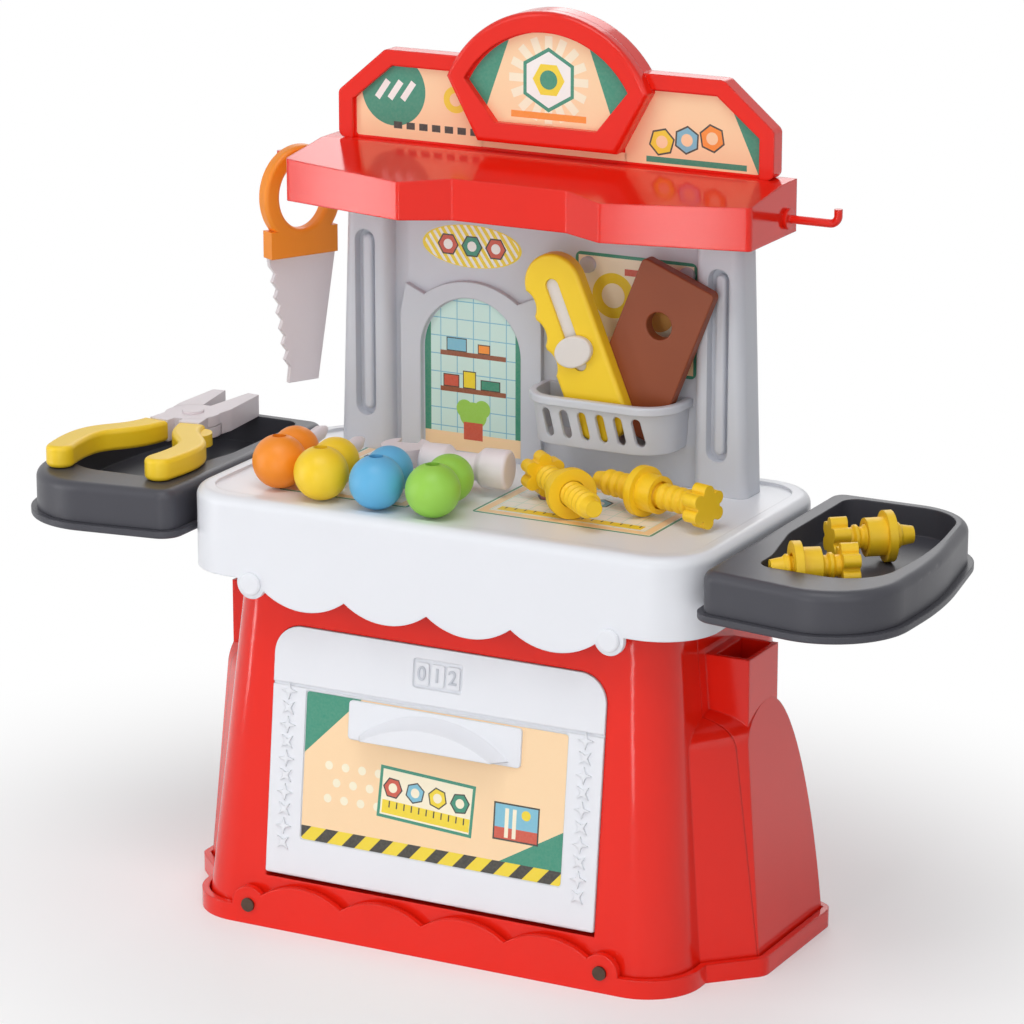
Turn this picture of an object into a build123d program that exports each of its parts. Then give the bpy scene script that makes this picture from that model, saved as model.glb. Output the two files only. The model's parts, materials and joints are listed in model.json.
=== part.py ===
import os
from math import cos, hypot, radians, sin, sqrt, tan

from build123d import *

os.makedirs("parts", exist_ok=True)

# Clearances
gap = 0.3
press_gap = 0.05

# Base casing: a tapered block with a leaning front wall and a pod on each side
base_half_width = 129.0
base_front = 77.5
base_back = 77.0
base_corner = 24.0
base_height = 178.0
base_wall = 3.0
neck_half_width = 114.0
neck_back = 70.0
neck_corner = 20.0
front_lean = 6.4
pod_half_width = 150.0
pod_root = 121.0
pod_front = 25.0
pod_back = 47.0
pod_height = 126.0
pod_shoulder = 109.0
pod_apex = 4.0
pod_lean = 5.0
pod_rake = 4.0
pod_rear_spread = 15.0
pocket_front = 18.0
pocket_back = 14.0
pocket_reach = 139.0
pocket_bottom = 118.0
pocket_floor = 130.0
pocket_top = 150.0
pocket_wall = 2.2

# Foot tray with its scalloped plinth
floor_thickness = 3.0
plinth_wall = 3.5
plinth_round = 9.0
plinth_height = 9.0
plinth_cusp = 15.5
plinth_rise = 7.0
scallop_pitch = 44.0
scallop_count = 4
ear_offset = 94.5
plinth_ear_level = 10.0
plinth_ear_radius = 9.0
screw_radius = 1.8
screw_head_radius = 3.4
screw_head_height = 1.2
screw_length = 12.0

# Table
table_half_width = 136.0
table_front = 74.0
table_back = 77.5
table_corner = 28.0
table_level = 210.0
table_wall = 2.6
table_skin = 3.4
table_edge = 5.0
table_panel_margin = 9.0
table_panel_depth = 1.2
skirt_level = 171.0
hem_crest = 159.0
hem_rise = 7.5
hem_ear_level = 169.0
hem_ear_radius = 7.5
pin_radius = 2.5
pin_cap_radius = 5.5
pin_cap_height = 2.2
pin_boss_radius = 5.5
table_boss_radius = 6.0
table_boss_x = 80.0
table_boss_y = 36.0

# Side trays
tray_reach = 225.0
tray_front = 86.0
tray_back = 76.0
tray_level = 208.0
tray_height = 23.0
tray_wall = 2.4
tray_edge = 4.5
tray_inner_corner = 8.0
tray_front_corner = 36.0
tray_back_corner = 33.0
tray_recess_depth = 14.0
tray_recess_front = 57.0
tray_recess_step = 8.0
tray_plate = 3.6
tray_lip = 3.0
ledge_reach = 27.0
ledge_half_length = 34.0
ledge_thickness = 4.0
peg_radius = 4.0
peg_height = 5.0
peg_spread = 20.0
peg_offset = 15.0

# Door
door_half_width = 88.0
door_height = 122.0
door_level = 26.0
door_top_corner = 14.0
door_bottom_corner = 6.0
door_depth = 7.0
door_proud = 1.0
door_wall = 2.4
door_edge = 1.5
door_foot_round = 2.6
door_foot_gap = 1.8
door_stop = 5.0
door_stop_thickness = 2.6
door_frame = 6.5
door_seam_level = 93.5
door_seam_width = 1.4
door_seam_depth = 0.8
label_half_width = 70.0
label_bottom = 19.0
label_top = 92.0
label_depth = 0.6
hinge_level = 4.0
hinge_radius = 2.0
hinge_pin_reach = 5.0
hinge_pin_seat = 6.0
liner_thickness = 2.0
handle_half_width = 40.0
handle_height = 15.0
handle_drop = 74.0
handle_reach = 10.0
handle_wall = 2.0
handle_plate_half_width = 46.0
handle_plate_height = 19.0
handle_plate_thickness = 1.2
dial_width = 26.0
dial_height = 14.0
dial_level = 109.0
dial_depth = 1.0

# Back panel with its two posts
post_inner = 82.0
post_outer_foot = 110.0
post_outer_top = 105.0
post_front = 38.0
post_back = 58.5
post_corner = 5.0
post_slot_width = 11.0
post_slot_length = 93.0
post_slot_level = 272.0
post_slot_depth = 5.0
post_bead_width = 5.5
post_bead_height = 3.2
panel_front = 46.0
panel_thickness = 5.0
arch_center = -39.5
arch_half_width = 27.5
arch_spring = 262.0
arch_band = 8.0
arch_relief = 3.0
arch_shoulder = 288.5
arch_crown = 297.0
arch_ear_top = 293.0
arch_ear_width = 10.0
peg_boss_radius = 4.0
peg_boss_height = 2.0
peg_boss_spread = 26.0
peg_boss_level = 312.0
poster_center = 49.0

# Basket
basket_center = 39.0
basket_half_width = 38.0
basket_depth = 28.5
basket_bottom = 229.0
basket_top = 253.0
basket_corner = 17.0
basket_draft = 2.0
basket_wall = 2.0
basket_rim = 1.6
basket_rim_height = 4.0
basket_slot_count = 6
basket_slot_pitch = 9.5
basket_slot_width = 4.6
basket_slot_length = 14.0
basket_slot_tilt = 12.0

# Canopy and sign
canopy_bottom = 335.0
canopy_face = 18.5
canopy_half_width = 123.0
canopy_peak_x = 53.0
canopy_bay_x = 30.0
canopy_end_y = 11.0
canopy_peak_y = -4.0
canopy_bay_y = 8.0
canopy_back = 62.0
canopy_roof = 360.0
canopy_roof_rear = 46.0
canopy_wall = 2.5
canopy_ceiling = 350.5
sign_front = 51.0
sign_thickness = 9.0
sign_half_width = 116.0
sign_shoulder_x = 90.0
sign_shoulder_level = 405.0
sign_corner_level = 383.0
sign_band = 7.5
sign_relief = 3.0
medal_half_foot = 37.0
medal_foot_level = 366.0
medal_half_width = 53.5
medal_waist_level = 396.0
medal_top = 431.0
medal_band = 10.0
medal_relief = 6.5
medal_back = 2.5
medal_edge = 2.4

# Hooks at the canopy's ends
hook_y = 51.0
hook_level = 343.0
hook_radius = 2.0
hook_reach = 26.0
hook_tip = 7.0
hook_bend = 4.0
hook_flange_radius = 5.0
hook_flange = 2.0

# Saw
saw_x = -138.5
saw_turn = 62.0
saw_half_width = 22.0
saw_loop_height = 50.0
saw_grip = 8.5
saw_thickness = 8.0
saw_edge = 2.2
saw_heel = 18.0
saw_collar = 5.0
saw_blade_top = 38.0
saw_blade_tip = 17.0
saw_blade_length = 64.0
saw_blade_thickness = 2.6
saw_tooth_count = 7
saw_tooth_depth = 3.0
saw_tang = 6.0

# Knife in the basket
knife_foot_x = 45.0
knife_lean = 22.4
knife_length = 94.0
knife_width = 30.0
knife_thickness = 7.4
knife_edge = 2.0
knife_groove_radius = 9.0
knife_groove_depth = 2.6
knife_groove_pitch = 15.0
knife_slot_width = 7.0
knife_slot_length = 46.0
knife_slot_depth = 2.6
knife_slot_start = 36.0
knife_rail_height = 1.2
slider_length = 20.0
slider_width = 15.0
slider_height = 3.0
slider_stem = 5.4
slider_start = 46.0

# Plank in the basket
plank_lean = 22.0
plank_length = 82.0
plank_width = 40.0
plank_thickness = 7.0
plank_foot_x = 46.8
plank_corner = 3.0
plank_edge = 0.8
plank_hole_radius = 6.5
plank_hole_drop = 27.0

# Pliers on the left tray
pliers_shift = 3.85
pliers_y = 24.0
pliers_heading = 92.0
pliers_grip_width = 14.0
pliers_thickness = 11.0
pliers_edge = 2.4
pliers_lap_radius = 14.0
pliers_open = 8.0
pliers_neck = 20.0
pliers_neck_width = 11.0
pliers_grip_reach = 84.0
pliers_grip_bow = 20.0
pliers_grip_end = 16.0
pliers_guard = 9.0
pliers_grip_tuck = 0.35
pliers_jaw_reach = 45.0
pliers_jaw_tip = 7.0
pliers_jaw_root = 13.0
pliers_rivet_radius = 4.0
pliers_rivet_cap = 5.5
pliers_rivet_cap_height = 1.2

# Short tools on the table
tool_ball = 13.0
tool_rear_ball = 11.5
tool_ball_pitch = 22.0
tool_neck_round = 5.0
tool_socket_radius = 3.4
tool_socket_depth = 7.0
tool_shaft_radius = 3.6
tool_shaft_seat = 4.0
driver_shaft_length = 30.0
driver_tip_length = 8.0
driver_tip_radius = 1.6
spanner_shaft_length = 14.0
spanner_head_radius = 12.0
spanner_head_thickness = 9.0
spanner_mouth_width = 10.0
hammer_shaft_length = 12.0
hammer_half_length = 22.0
hammer_face_radius = 9.5
hammer_face_length = 13.0
hammer_waist_radius = 6.5

# Bolts and nuts
bolt_core = 5.0
bolt_crest = 6.2
bolt_thread_pitch = 5.0
bolt_head_radius = 10.5
bolt_head_length = 8.0
bolt_lobe_radius = 3.2
bolt_lobe_count = 6
long_bolt_length = 62.0
short_bolt_length = 32.0
nut_hub_radius = 9.0
nut_hub_length = 9.0
nut_flange_radius = 12.0
nut_flange_length = 4.0
nut_seat_long = 22.0
nut_seat_short = 9.0

# Levels and places that follow from the sizes above
front_slope = tan(radians(front_lean))
deck_level = base_height
plinth_crest = plinth_cusp + plinth_rise
hem_cusp = hem_crest + hem_rise
tray_bottom = tray_level - tray_height
tray_inner = table_half_width + gap + tray_lip
tray_middle = (tray_inner + tray_reach) / 2
tray_floor = tray_level - tray_recess_depth
plinth_grow = gap + plinth_wall
door_lean_cos = cos(radians(front_lean))
door_plane = Plane(
    origin=(0, -base_front + door_level * front_slope, door_level),
    x_dir=(1, 0, 0),
    z_dir=(0, -door_lean_cos, sin(radians(front_lean))),
)
scallop_span = scallop_pitch * scallop_count


def scallop_radius(rise):
    return (scallop_pitch**2 / 4 + rise**2) / (2 * rise)


def scallop_centers():
    return [(i - (scallop_count - 1) / 2) * scallop_pitch for i in range(scallop_count)]


def lying(x, y, z, heading):
    # Upright plane through a lying piece, with its x axis along the piece
    run = radians(heading)
    return Plane(origin=(x, y, z), x_dir=(cos(run), sin(run), 0), z_dir=(sin(run), -cos(run), 0))


def casing_block(inset):
    top = base_height - inset
    with BuildPart() as block:
        for level, half_width, back, corner in (
            (floor_thickness, base_half_width, base_back, base_corner),
            (top, neck_half_width, neck_back, neck_corner),
        ):
            front = base_front - level * front_slope
            with BuildSketch(Plane.XY.offset(level)):
                with Locations((0, (back - front) / 2)):
                    RectangleRounded(2 * (half_width - inset), front + back - 2 * inset, corner - inset)
        loft()
    return block.part


def side_pod(inset):
    # A tombstone-shaped side face whose front and rear flanks splay towards the casing
    with BuildPart() as pod:
        for x, spread in ((pod_half_width - inset, 0), (pod_root - inset, pod_half_width - pod_root)):
            face_plane = Plane(
                origin=(x, 0, 0),
                x_dir=(0, 1, 0),
                z_dir=(cos(radians(pod_lean)), 0, sin(radians(pod_lean))),
            )
            front = pod_front + spread - inset
            back = pod_back + spread * pod_rear_spread / (pod_half_width - pod_root) - inset
            shoulder = pod_shoulder - inset
            with BuildSketch(face_plane):
                with BuildLine():
                    Line((back, 0), (-front, 0))
                    Line((-front, 0), (-front + pod_rake, shoulder))
                    EllipticalCenterArc(
                        (pod_apex, shoulder), front - pod_rake + pod_apex, pod_height - pod_shoulder, 90
                    )
                    EllipticalCenterArc((pod_apex, 0), back - pod_apex, pod_height - inset)
                make_face()
        loft(ruled=True)
        split(bisect_by=Plane.XY.offset(floor_thickness), keep=Keep.TOP)
        mirror(about=Plane.YZ)
    return pod.part


def foot_outline(grow, level, corner):
    flank = pod_half_width - pod_root
    with BuildSketch(Plane.XY.offset(level)) as outline:
        with Locations((0, (base_back - base_front) / 2)):
            RectangleRounded(2 * base_half_width, base_front + base_back, base_corner)
        with BuildLine():
            Polyline(
                (0, -pod_front - flank),
                (pod_root, -pod_front - flank),
                (pod_half_width, -pod_front),
                (pod_half_width, pod_back),
                (pod_root, pod_back + pod_rear_spread),
                (0, pod_back + pod_rear_spread),
                close=True,
            )
        make_face()
        mirror(about=Plane.YZ)
        offset(amount=grow, kind=Kind.INTERSECTION)
        if corner > 0:
            fillet(outline.vertices().group_by(Axis.X)[0] + outline.vertices().group_by(Axis.X)[-1], corner)
    return outline.sketch


with BuildPart() as base_tray:
    extrude(foot_outline(plinth_grow, 0, plinth_round), amount=plinth_crest)
    extrude(foot_outline(gap, floor_thickness, 0), amount=plinth_crest, mode=Mode.SUBTRACT)
    with BuildSketch(Plane.XZ):
        with Locations((0, plinth_height / 2)):
            Rectangle(4 * base_half_width, plinth_height)
        with Locations((0, plinth_cusp / 2)):
            Rectangle(scallop_span, plinth_cusp)
        crest_radius = scallop_radius(plinth_rise)
        with Locations(*[(x, plinth_crest - crest_radius) for x in scallop_centers()]):
            Circle(crest_radius)
        with Locations((-ear_offset, plinth_ear_level), (ear_offset, plinth_ear_level)):
            Circle(plinth_ear_radius)
    extrude(amount=2 * base_front, both=True, mode=Mode.INTERSECT)
    with BuildSketch(Plane.XZ):
        with Locations((-ear_offset, plinth_ear_level), (ear_offset, plinth_ear_level)):
            Circle(screw_radius + press_gap)
    extrude(amount=2 * base_front, both=True, mode=Mode.SUBTRACT)
base_tray.part.label = "base_tray"
export_step(base_tray.part, "parts/base_tray.step")

pin_front_seat = table_front - table_wall - gap
pin_back_seat = table_back - table_wall - gap

with BuildPart() as base_shell:
    add(casing_block(0))
    add(side_pod(0))
    add(casing_block(base_wall), mode=Mode.SUBTRACT)
    add(side_pod(base_wall), mode=Mode.SUBTRACT)
    # Open pockets above the pods
    with BuildSketch(Plane.XY.offset(pocket_bottom)):
        for side in (-1, 1):
            with Locations((side * (neck_half_width + pocket_reach) / 2, (pocket_back - pocket_front) / 2)):
                Rectangle(pocket_reach - neck_half_width, pocket_front + pocket_back)
    extrude(amount=pocket_top - pocket_bottom)
    casing_taper = (base_half_width - neck_half_width) / base_height
    pocket_back_wall = base_half_width - casing_taper * pocket_floor + base_wall
    with BuildSketch(Plane.XY.offset(pocket_floor)):
        for side in (-1, 1):
            middle = side * (pocket_back_wall + pocket_reach - pocket_wall) / 2
            with Locations((middle, (pocket_back - pocket_front) / 2)):
                Rectangle(
                    pocket_reach - pocket_wall - pocket_back_wall,
                    pocket_front + pocket_back - 2 * pocket_wall,
                )
    extrude(amount=base_height, mode=Mode.SUBTRACT)
    # Bosses that take the table's pins, front and back
    for seat, inward in ((-pin_front_seat, -1), (pin_back_seat, 1)):
        with BuildSketch(Plane.XZ.offset(-seat)):
            with Locations((-ear_offset, hem_ear_level), (ear_offset, hem_ear_level)):
                Circle(pin_boss_radius)
        wall_front = base_front - hem_ear_level * front_slope
        wall_back = base_back - (base_back - neck_back) * hem_ear_level / base_height
        reach = pin_front_seat - wall_front if inward < 0 else pin_back_seat - wall_back
        extrude(amount=inward * (reach + base_wall))
    with BuildSketch(Plane.XZ):
        with Locations((-ear_offset, hem_ear_level), (ear_offset, hem_ear_level)):
            Circle(pin_radius + press_gap)
        with Locations((-ear_offset, plinth_ear_level), (ear_offset, plinth_ear_level)):
            Circle(screw_radius + press_gap)
    extrude(amount=2 * base_front, both=True, mode=Mode.SUBTRACT)

seam_plane = Plane.XZ.offset(pod_front)


def door_outline(grow, foot_grow, depth):
    # Door outline on a plane at some depth behind the front wall, grown all round
    with BuildSketch(door_plane.offset(-depth)) as outline:
        height = door_height + grow + foot_grow
        with Locations((0, (door_height + grow - foot_grow) / 2)):
            Rectangle(2 * (door_half_width + grow), height)
        corners = outline.vertices().group_by(Axis.Y)
        fillet(corners[-1], door_top_corner + grow)
        fillet(corners[0], door_bottom_corner + grow)
    return outline.sketch


door_seat = door_depth + gap
hinge_point = door_plane.from_local_coords((0, hinge_level, -door_depth / 2))
hinge_swing = hypot(hinge_level, door_depth / 2 + door_proud) + 2 * gap

with BuildPart() as base_front_shell:
    add(base_shell.part)
    split(bisect_by=seam_plane, keep=Keep.TOP)
    extrude(door_outline(door_frame, door_frame, 0), amount=-door_seat - door_stop_thickness)
    extrude(
        door_outline(gap, door_foot_gap, -door_proud),
        amount=-door_proud - door_seat,
        mode=Mode.SUBTRACT,
    )
    extrude(
        door_outline(-door_stop, door_foot_gap, 0),
        amount=-2 * door_seat,
        mode=Mode.SUBTRACT,
    )
    # Trough that the door's foot turns in
    with BuildSketch(Plane.YZ):
        with Locations((hinge_point.Y, hinge_point.Z)):
            Circle(hinge_swing)
        with Locations((hinge_point.Y + door_seat, hinge_point.Z)):
            Rectangle(2 * door_seat, 2 * hinge_swing)
    extrude(amount=door_half_width + gap, both=True, mode=Mode.SUBTRACT)
    with BuildSketch(Plane.YZ):
        with Locations((hinge_point.Y, hinge_point.Z)):
            Circle(hinge_radius + press_gap)
    extrude(amount=door_half_width + hinge_pin_reach, both=True, mode=Mode.SUBTRACT)
base_front_shell.part.label = "base_front_shell"
export_step(base_front_shell.part, "parts/base_front_shell.step")

with BuildPart() as base_rear_shell:
    add(base_shell.part)
    split(bisect_by=seam_plane, keep=Keep.BOTTOM)
base_rear_shell.part.label = "base_rear_shell"
export_step(base_rear_shell.part, "parts/base_rear_shell.step")

with BuildPart() as plinth_screws:
    screw_front = base_front + plinth_grow
    screw_back = base_back + plinth_grow
    for face, inward in ((-screw_front, -1), (screw_back, 1)):
        with BuildSketch(Plane.XZ.offset(-face)):
            with Locations((-ear_offset, plinth_ear_level), (ear_offset, plinth_ear_level)):
                Circle(screw_radius)
        extrude(amount=inward * screw_length)
        with BuildSketch(Plane.XZ.offset(-face)):
            with Locations((-ear_offset, plinth_ear_level), (ear_offset, plinth_ear_level)):
                Circle(screw_head_radius)
        extrude(amount=-inward * screw_head_height)
plinth_screws.part.label = "plinth_screws"
export_step(plinth_screws.part, "parts/plinth_screws.step")

with BuildPart() as door_hinge_pins:
    with BuildSketch(Plane.YZ):
        with Locations((hinge_point.Y, hinge_point.Z)):
            Circle(hinge_radius)
    extrude(amount=door_half_width + hinge_pin_reach, both=True)
    with BuildSketch(Plane.YZ):
        with Locations((hinge_point.Y, hinge_point.Z)):
            Circle(2 * hinge_radius)
    extrude(amount=door_half_width - hinge_pin_seat, both=True, mode=Mode.SUBTRACT)
door_hinge_pins.part.label = "door_hinge_pins"
export_step(door_hinge_pins.part, "parts/door_hinge_pins.step")

# Door: a shallow shell with a liner at its back, a cup handle and a dial window
with BuildPart() as door_panel:
    extrude(door_outline(0, 0, door_depth), amount=door_depth + door_proud)
    front_face = door_panel.faces().sort_by(Axis.Y)[0]
    fillet(front_face.edges().sort_by(Axis.Z)[1:], door_edge)
    foot_edges = door_panel.edges().filter_by(Axis.X).sort_by(Axis.Z)[:2]
    fillet(foot_edges, door_foot_round)
    extrude(
        door_outline(-door_wall, -2 * hinge_level, door_depth),
        amount=door_depth + door_proud - door_wall,
        mode=Mode.SUBTRACT,
    )
    outer_plane = door_plane.offset(door_proud)
    with BuildSketch(outer_plane):
        with Locations((0, door_seam_level)):
            Rectangle(2 * door_half_width, door_seam_width)
    extrude(amount=-door_seam_depth, mode=Mode.SUBTRACT)
    with BuildSketch(outer_plane):
        with Locations((0, (label_bottom + label_top) / 2)):
            RectangleRounded(2 * label_half_width, label_top - label_bottom, door_edge)
    extrude(amount=-label_depth, mode=Mode.SUBTRACT)
    with BuildSketch(outer_plane):
        with Locations((0, dial_level)):
            RectangleRounded(dial_width, dial_height, door_edge)
    extrude(amount=-dial_depth, mode=Mode.SUBTRACT)
    with BuildSketch(Plane.YZ):
        with Locations((hinge_point.Y, hinge_point.Z)):
            Circle(hinge_radius + gap)
    extrude(amount=2 * door_half_width, both=True, mode=Mode.SUBTRACT)
door_panel.part.label = "door_panel"
export_step(door_panel.part, "parts/door_panel.step")

with BuildPart() as door_liner:
    extrude(
        door_outline(-door_wall - press_gap, -2 * hinge_level - press_gap, door_depth),
        amount=liner_thickness,
    )
door_liner.part.label = "door_liner"
export_step(door_liner.part, "parts/door_liner.step")

handle_plane = door_plane.offset(door_proud - label_depth)


def handle_bow(shrink, level):
    with BuildSketch(handle_plane.offset(level)) as bow:
        with BuildLine():
            Line((-handle_half_width + shrink, handle_drop), (handle_half_width - shrink, handle_drop))
            ThreePointArc(
                (handle_half_width - shrink, handle_drop),
                (0, handle_drop + handle_height - shrink),
                (-handle_half_width + shrink, handle_drop),
            )
        make_face()
    return bow.sketch


with BuildPart() as door_handle:
    with BuildSketch(handle_plane):
        with Locations((0, handle_drop + handle_plate_height / 2 - handle_wall)):
            RectangleRounded(2 * handle_plate_half_width, handle_plate_height, handle_wall)
    extrude(amount=handle_plate_thickness)
    loft([handle_bow(0, handle_plate_thickness), handle_bow(handle_reach / 2, handle_reach)])
    loft(
        [
            handle_bow(handle_wall, handle_plate_thickness),
            handle_bow(handle_reach / 2 + handle_wall, handle_reach - handle_wall),
        ],
        mode=Mode.SUBTRACT,
    )
    with BuildSketch(handle_plane.offset(handle_plate_thickness)):
        with Locations((0, handle_drop)):
            Rectangle(2 * handle_half_width - 4 * handle_wall - handle_reach, 2 * handle_wall)
    extrude(amount=handle_reach - handle_wall - handle_plate_thickness, mode=Mode.SUBTRACT)
door_handle.part.label = "door_handle"
export_step(door_handle.part, "parts/door_handle.step")


def table_outline(grow, level):
    with BuildSketch(Plane.XY.offset(level)) as outline:
        with Locations((0, (table_back - table_front) / 2)):
            RectangleRounded(
                2 * (table_half_width + grow),
                table_front + table_back + 2 * grow,
                table_corner + grow,
            )
    return outline.sketch


with BuildPart() as table_top:
    extrude(table_outline(0, hem_crest), amount=table_level - hem_crest)
    fillet(table_top.faces().sort_by(Axis.Z)[-1].edges(), table_edge)
    extrude(
        table_outline(-table_wall, hem_crest),
        amount=table_level - table_skin - hem_crest,
        mode=Mode.SUBTRACT,
    )
    with BuildSketch(Plane.XZ):
        with Locations((0, (skirt_level + table_level) / 2)):
            Rectangle(4 * table_half_width, table_level - skirt_level)
        with Locations((0, (hem_cusp + table_level) / 2)):
            Rectangle(scallop_span, table_level - hem_cusp)
        lobe_radius = scallop_radius(hem_rise)
        with Locations(*[(x, hem_crest + lobe_radius) for x in scallop_centers()]):
            Circle(lobe_radius)
        with Locations((-ear_offset, hem_ear_level), (ear_offset, hem_ear_level)):
            Circle(hem_ear_radius)
    extrude(amount=2 * table_front, both=True, mode=Mode.INTERSECT)
    extrude(table_outline(-table_panel_margin, table_level), amount=-table_panel_depth, mode=Mode.SUBTRACT)
    with BuildSketch(Plane.XY.offset(deck_level)):
        with GridLocations(2 * table_boss_x, 2 * table_boss_y, 2, 2):
            Circle(table_boss_radius)
    extrude(amount=table_level - table_skin - deck_level)
    # Ledges with pegs that carry the side trays
    with BuildSketch(Plane.XY.offset(tray_bottom - ledge_thickness)):
        with Locations((0, 0)):
            Rectangle(2 * (table_half_width + ledge_reach), 2 * ledge_half_length)
            Rectangle(2 * (table_half_width - table_wall), 4 * ledge_half_length, mode=Mode.SUBTRACT)
    extrude(amount=ledge_thickness)
    with BuildSketch(Plane.XY.offset(tray_bottom)):
        with GridLocations(2 * (tray_inner + peg_offset), 2 * peg_spread, 2, 2):
            Circle(peg_radius)
    extrude(amount=peg_height)
    with BuildSketch(Plane.XZ):
        with Locations((-ear_offset, hem_ear_level), (ear_offset, hem_ear_level)):
            Circle(pin_radius + press_gap)
    extrude(amount=2 * table_front, both=True, mode=Mode.SUBTRACT)
table_top.part.label = "table_top"
export_step(table_top.part, "parts/table_top.step")

with BuildPart() as table_pins:
    for face, inward in ((-table_front, -1), (table_back, 1)):
        with BuildSketch(Plane.XZ.offset(-face)):
            with Locations((-ear_offset, hem_ear_level), (ear_offset, hem_ear_level)):
                Circle(pin_radius)
        extrude(amount=inward * (table_wall + gap + pin_boss_radius))
        with BuildSketch(Plane.XZ.offset(-face)):
            with Locations((-ear_offset, hem_ear_level), (ear_offset, hem_ear_level)):
                Circle(pin_cap_radius)
        extrude(amount=-inward * pin_cap_height)
    rims = table_pins.edges().filter_by(GeomType.CIRCLE).sort_by(Axis.Y)
    fillet(rims[:2] + rims[-2:], pin_cap_height / 2)
table_pins.part.label = "table_pins"
export_step(table_pins.part, "parts/table_pins.step")


def tray_outline(grow, level):
    with BuildSketch(Plane.XY.offset(level)) as outline:
        with BuildLine():
            FilletPolyline(
                (tray_inner, tray_back),
                (tray_inner, -tray_front + tray_front_corner / 3),
                (tray_reach, -tray_front),
                (tray_reach + tray_lip, -tray_inner_corner),
                (tray_reach - tray_front_corner / 3, tray_back),
                close=True,
                radius=[
                    tray_inner_corner,
                    tray_inner_corner,
                    tray_front_corner,
                    tray_reach,
                    tray_back_corner,
                ],
            )
        make_face()
        if grow:
            offset(amount=grow)
    return outline.sketch


def tray_recess(grow, level):
    # Pocket that is a little narrower in front, behind a broad front rim
    near = tray_inner + tray_inner_corner + tray_wall
    far = tray_reach - tray_inner_corner
    waist = near + tray_recess_step
    with BuildSketch(Plane.XY.offset(level)) as outline:
        with BuildLine():
            FilletPolyline(
                (near, tray_back - tray_inner_corner),
                (near, 0),
                (waist, -tray_front_corner),
                (waist, -tray_recess_front + tray_lip),
                (far - tray_lip, -tray_recess_front),
                (far + tray_lip, 0),
                (far - tray_inner_corner, tray_back - tray_inner_corner),
                close=True,
                radius=[
                    tray_inner_corner,
                    tray_front_corner,
                    tray_front_corner,
                    tray_inner_corner,
                    tray_back_corner - tray_inner_corner,
                    tray_reach,
                    tray_back_corner - tray_inner_corner,
                ],
            )
        make_face()
        if grow:
            offset(amount=grow)
    return outline.sketch


tray_seat = tray_bottom + tray_plate

with BuildPart() as right_tray:
    extrude(tray_outline(0, tray_seat), amount=tray_level - tray_seat)
    fillet(right_tray.faces().sort_by(Axis.Z)[-1].edges(), tray_edge)
    extrude(
        tray_outline(-tray_wall, tray_seat),
        amount=tray_level - tray_wall - tray_seat,
        mode=Mode.SUBTRACT,
    )
    extrude(tray_recess(tray_wall, tray_floor - tray_wall), amount=tray_level - tray_floor + tray_wall)
    extrude(tray_recess(0, tray_floor), amount=tray_recess_depth, mode=Mode.SUBTRACT)
right_tray.part.label = "right_tray"
export_step(right_tray.part, "parts/right_tray.step")

with BuildPart() as right_tray_base:
    extrude(tray_outline(tray_lip, tray_bottom), amount=tray_plate)
    fillet(right_tray_base.faces().sort_by(Axis.Z)[0].edges(), tray_plate / 3)
    with BuildSketch(Plane.XY.offset(tray_bottom)):
        with Locations((tray_inner + peg_offset, -peg_spread), (tray_inner + peg_offset, peg_spread)):
            Circle(peg_radius + gap)
    extrude(amount=tray_plate, mode=Mode.SUBTRACT)
right_tray_base.part.label = "right_tray_base"
export_step(right_tray_base.part, "parts/right_tray_base.step")

with BuildPart() as left_tray:
    mirror(right_tray.part, about=Plane.YZ)
left_tray.part.label = "left_tray"
export_step(left_tray.part, "parts/left_tray.step")

with BuildPart() as left_tray_base:
    mirror(right_tray_base.part, about=Plane.YZ)
left_tray_base.part.label = "left_tray_base"
export_step(left_tray_base.part, "parts/left_tray_base.step")

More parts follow.
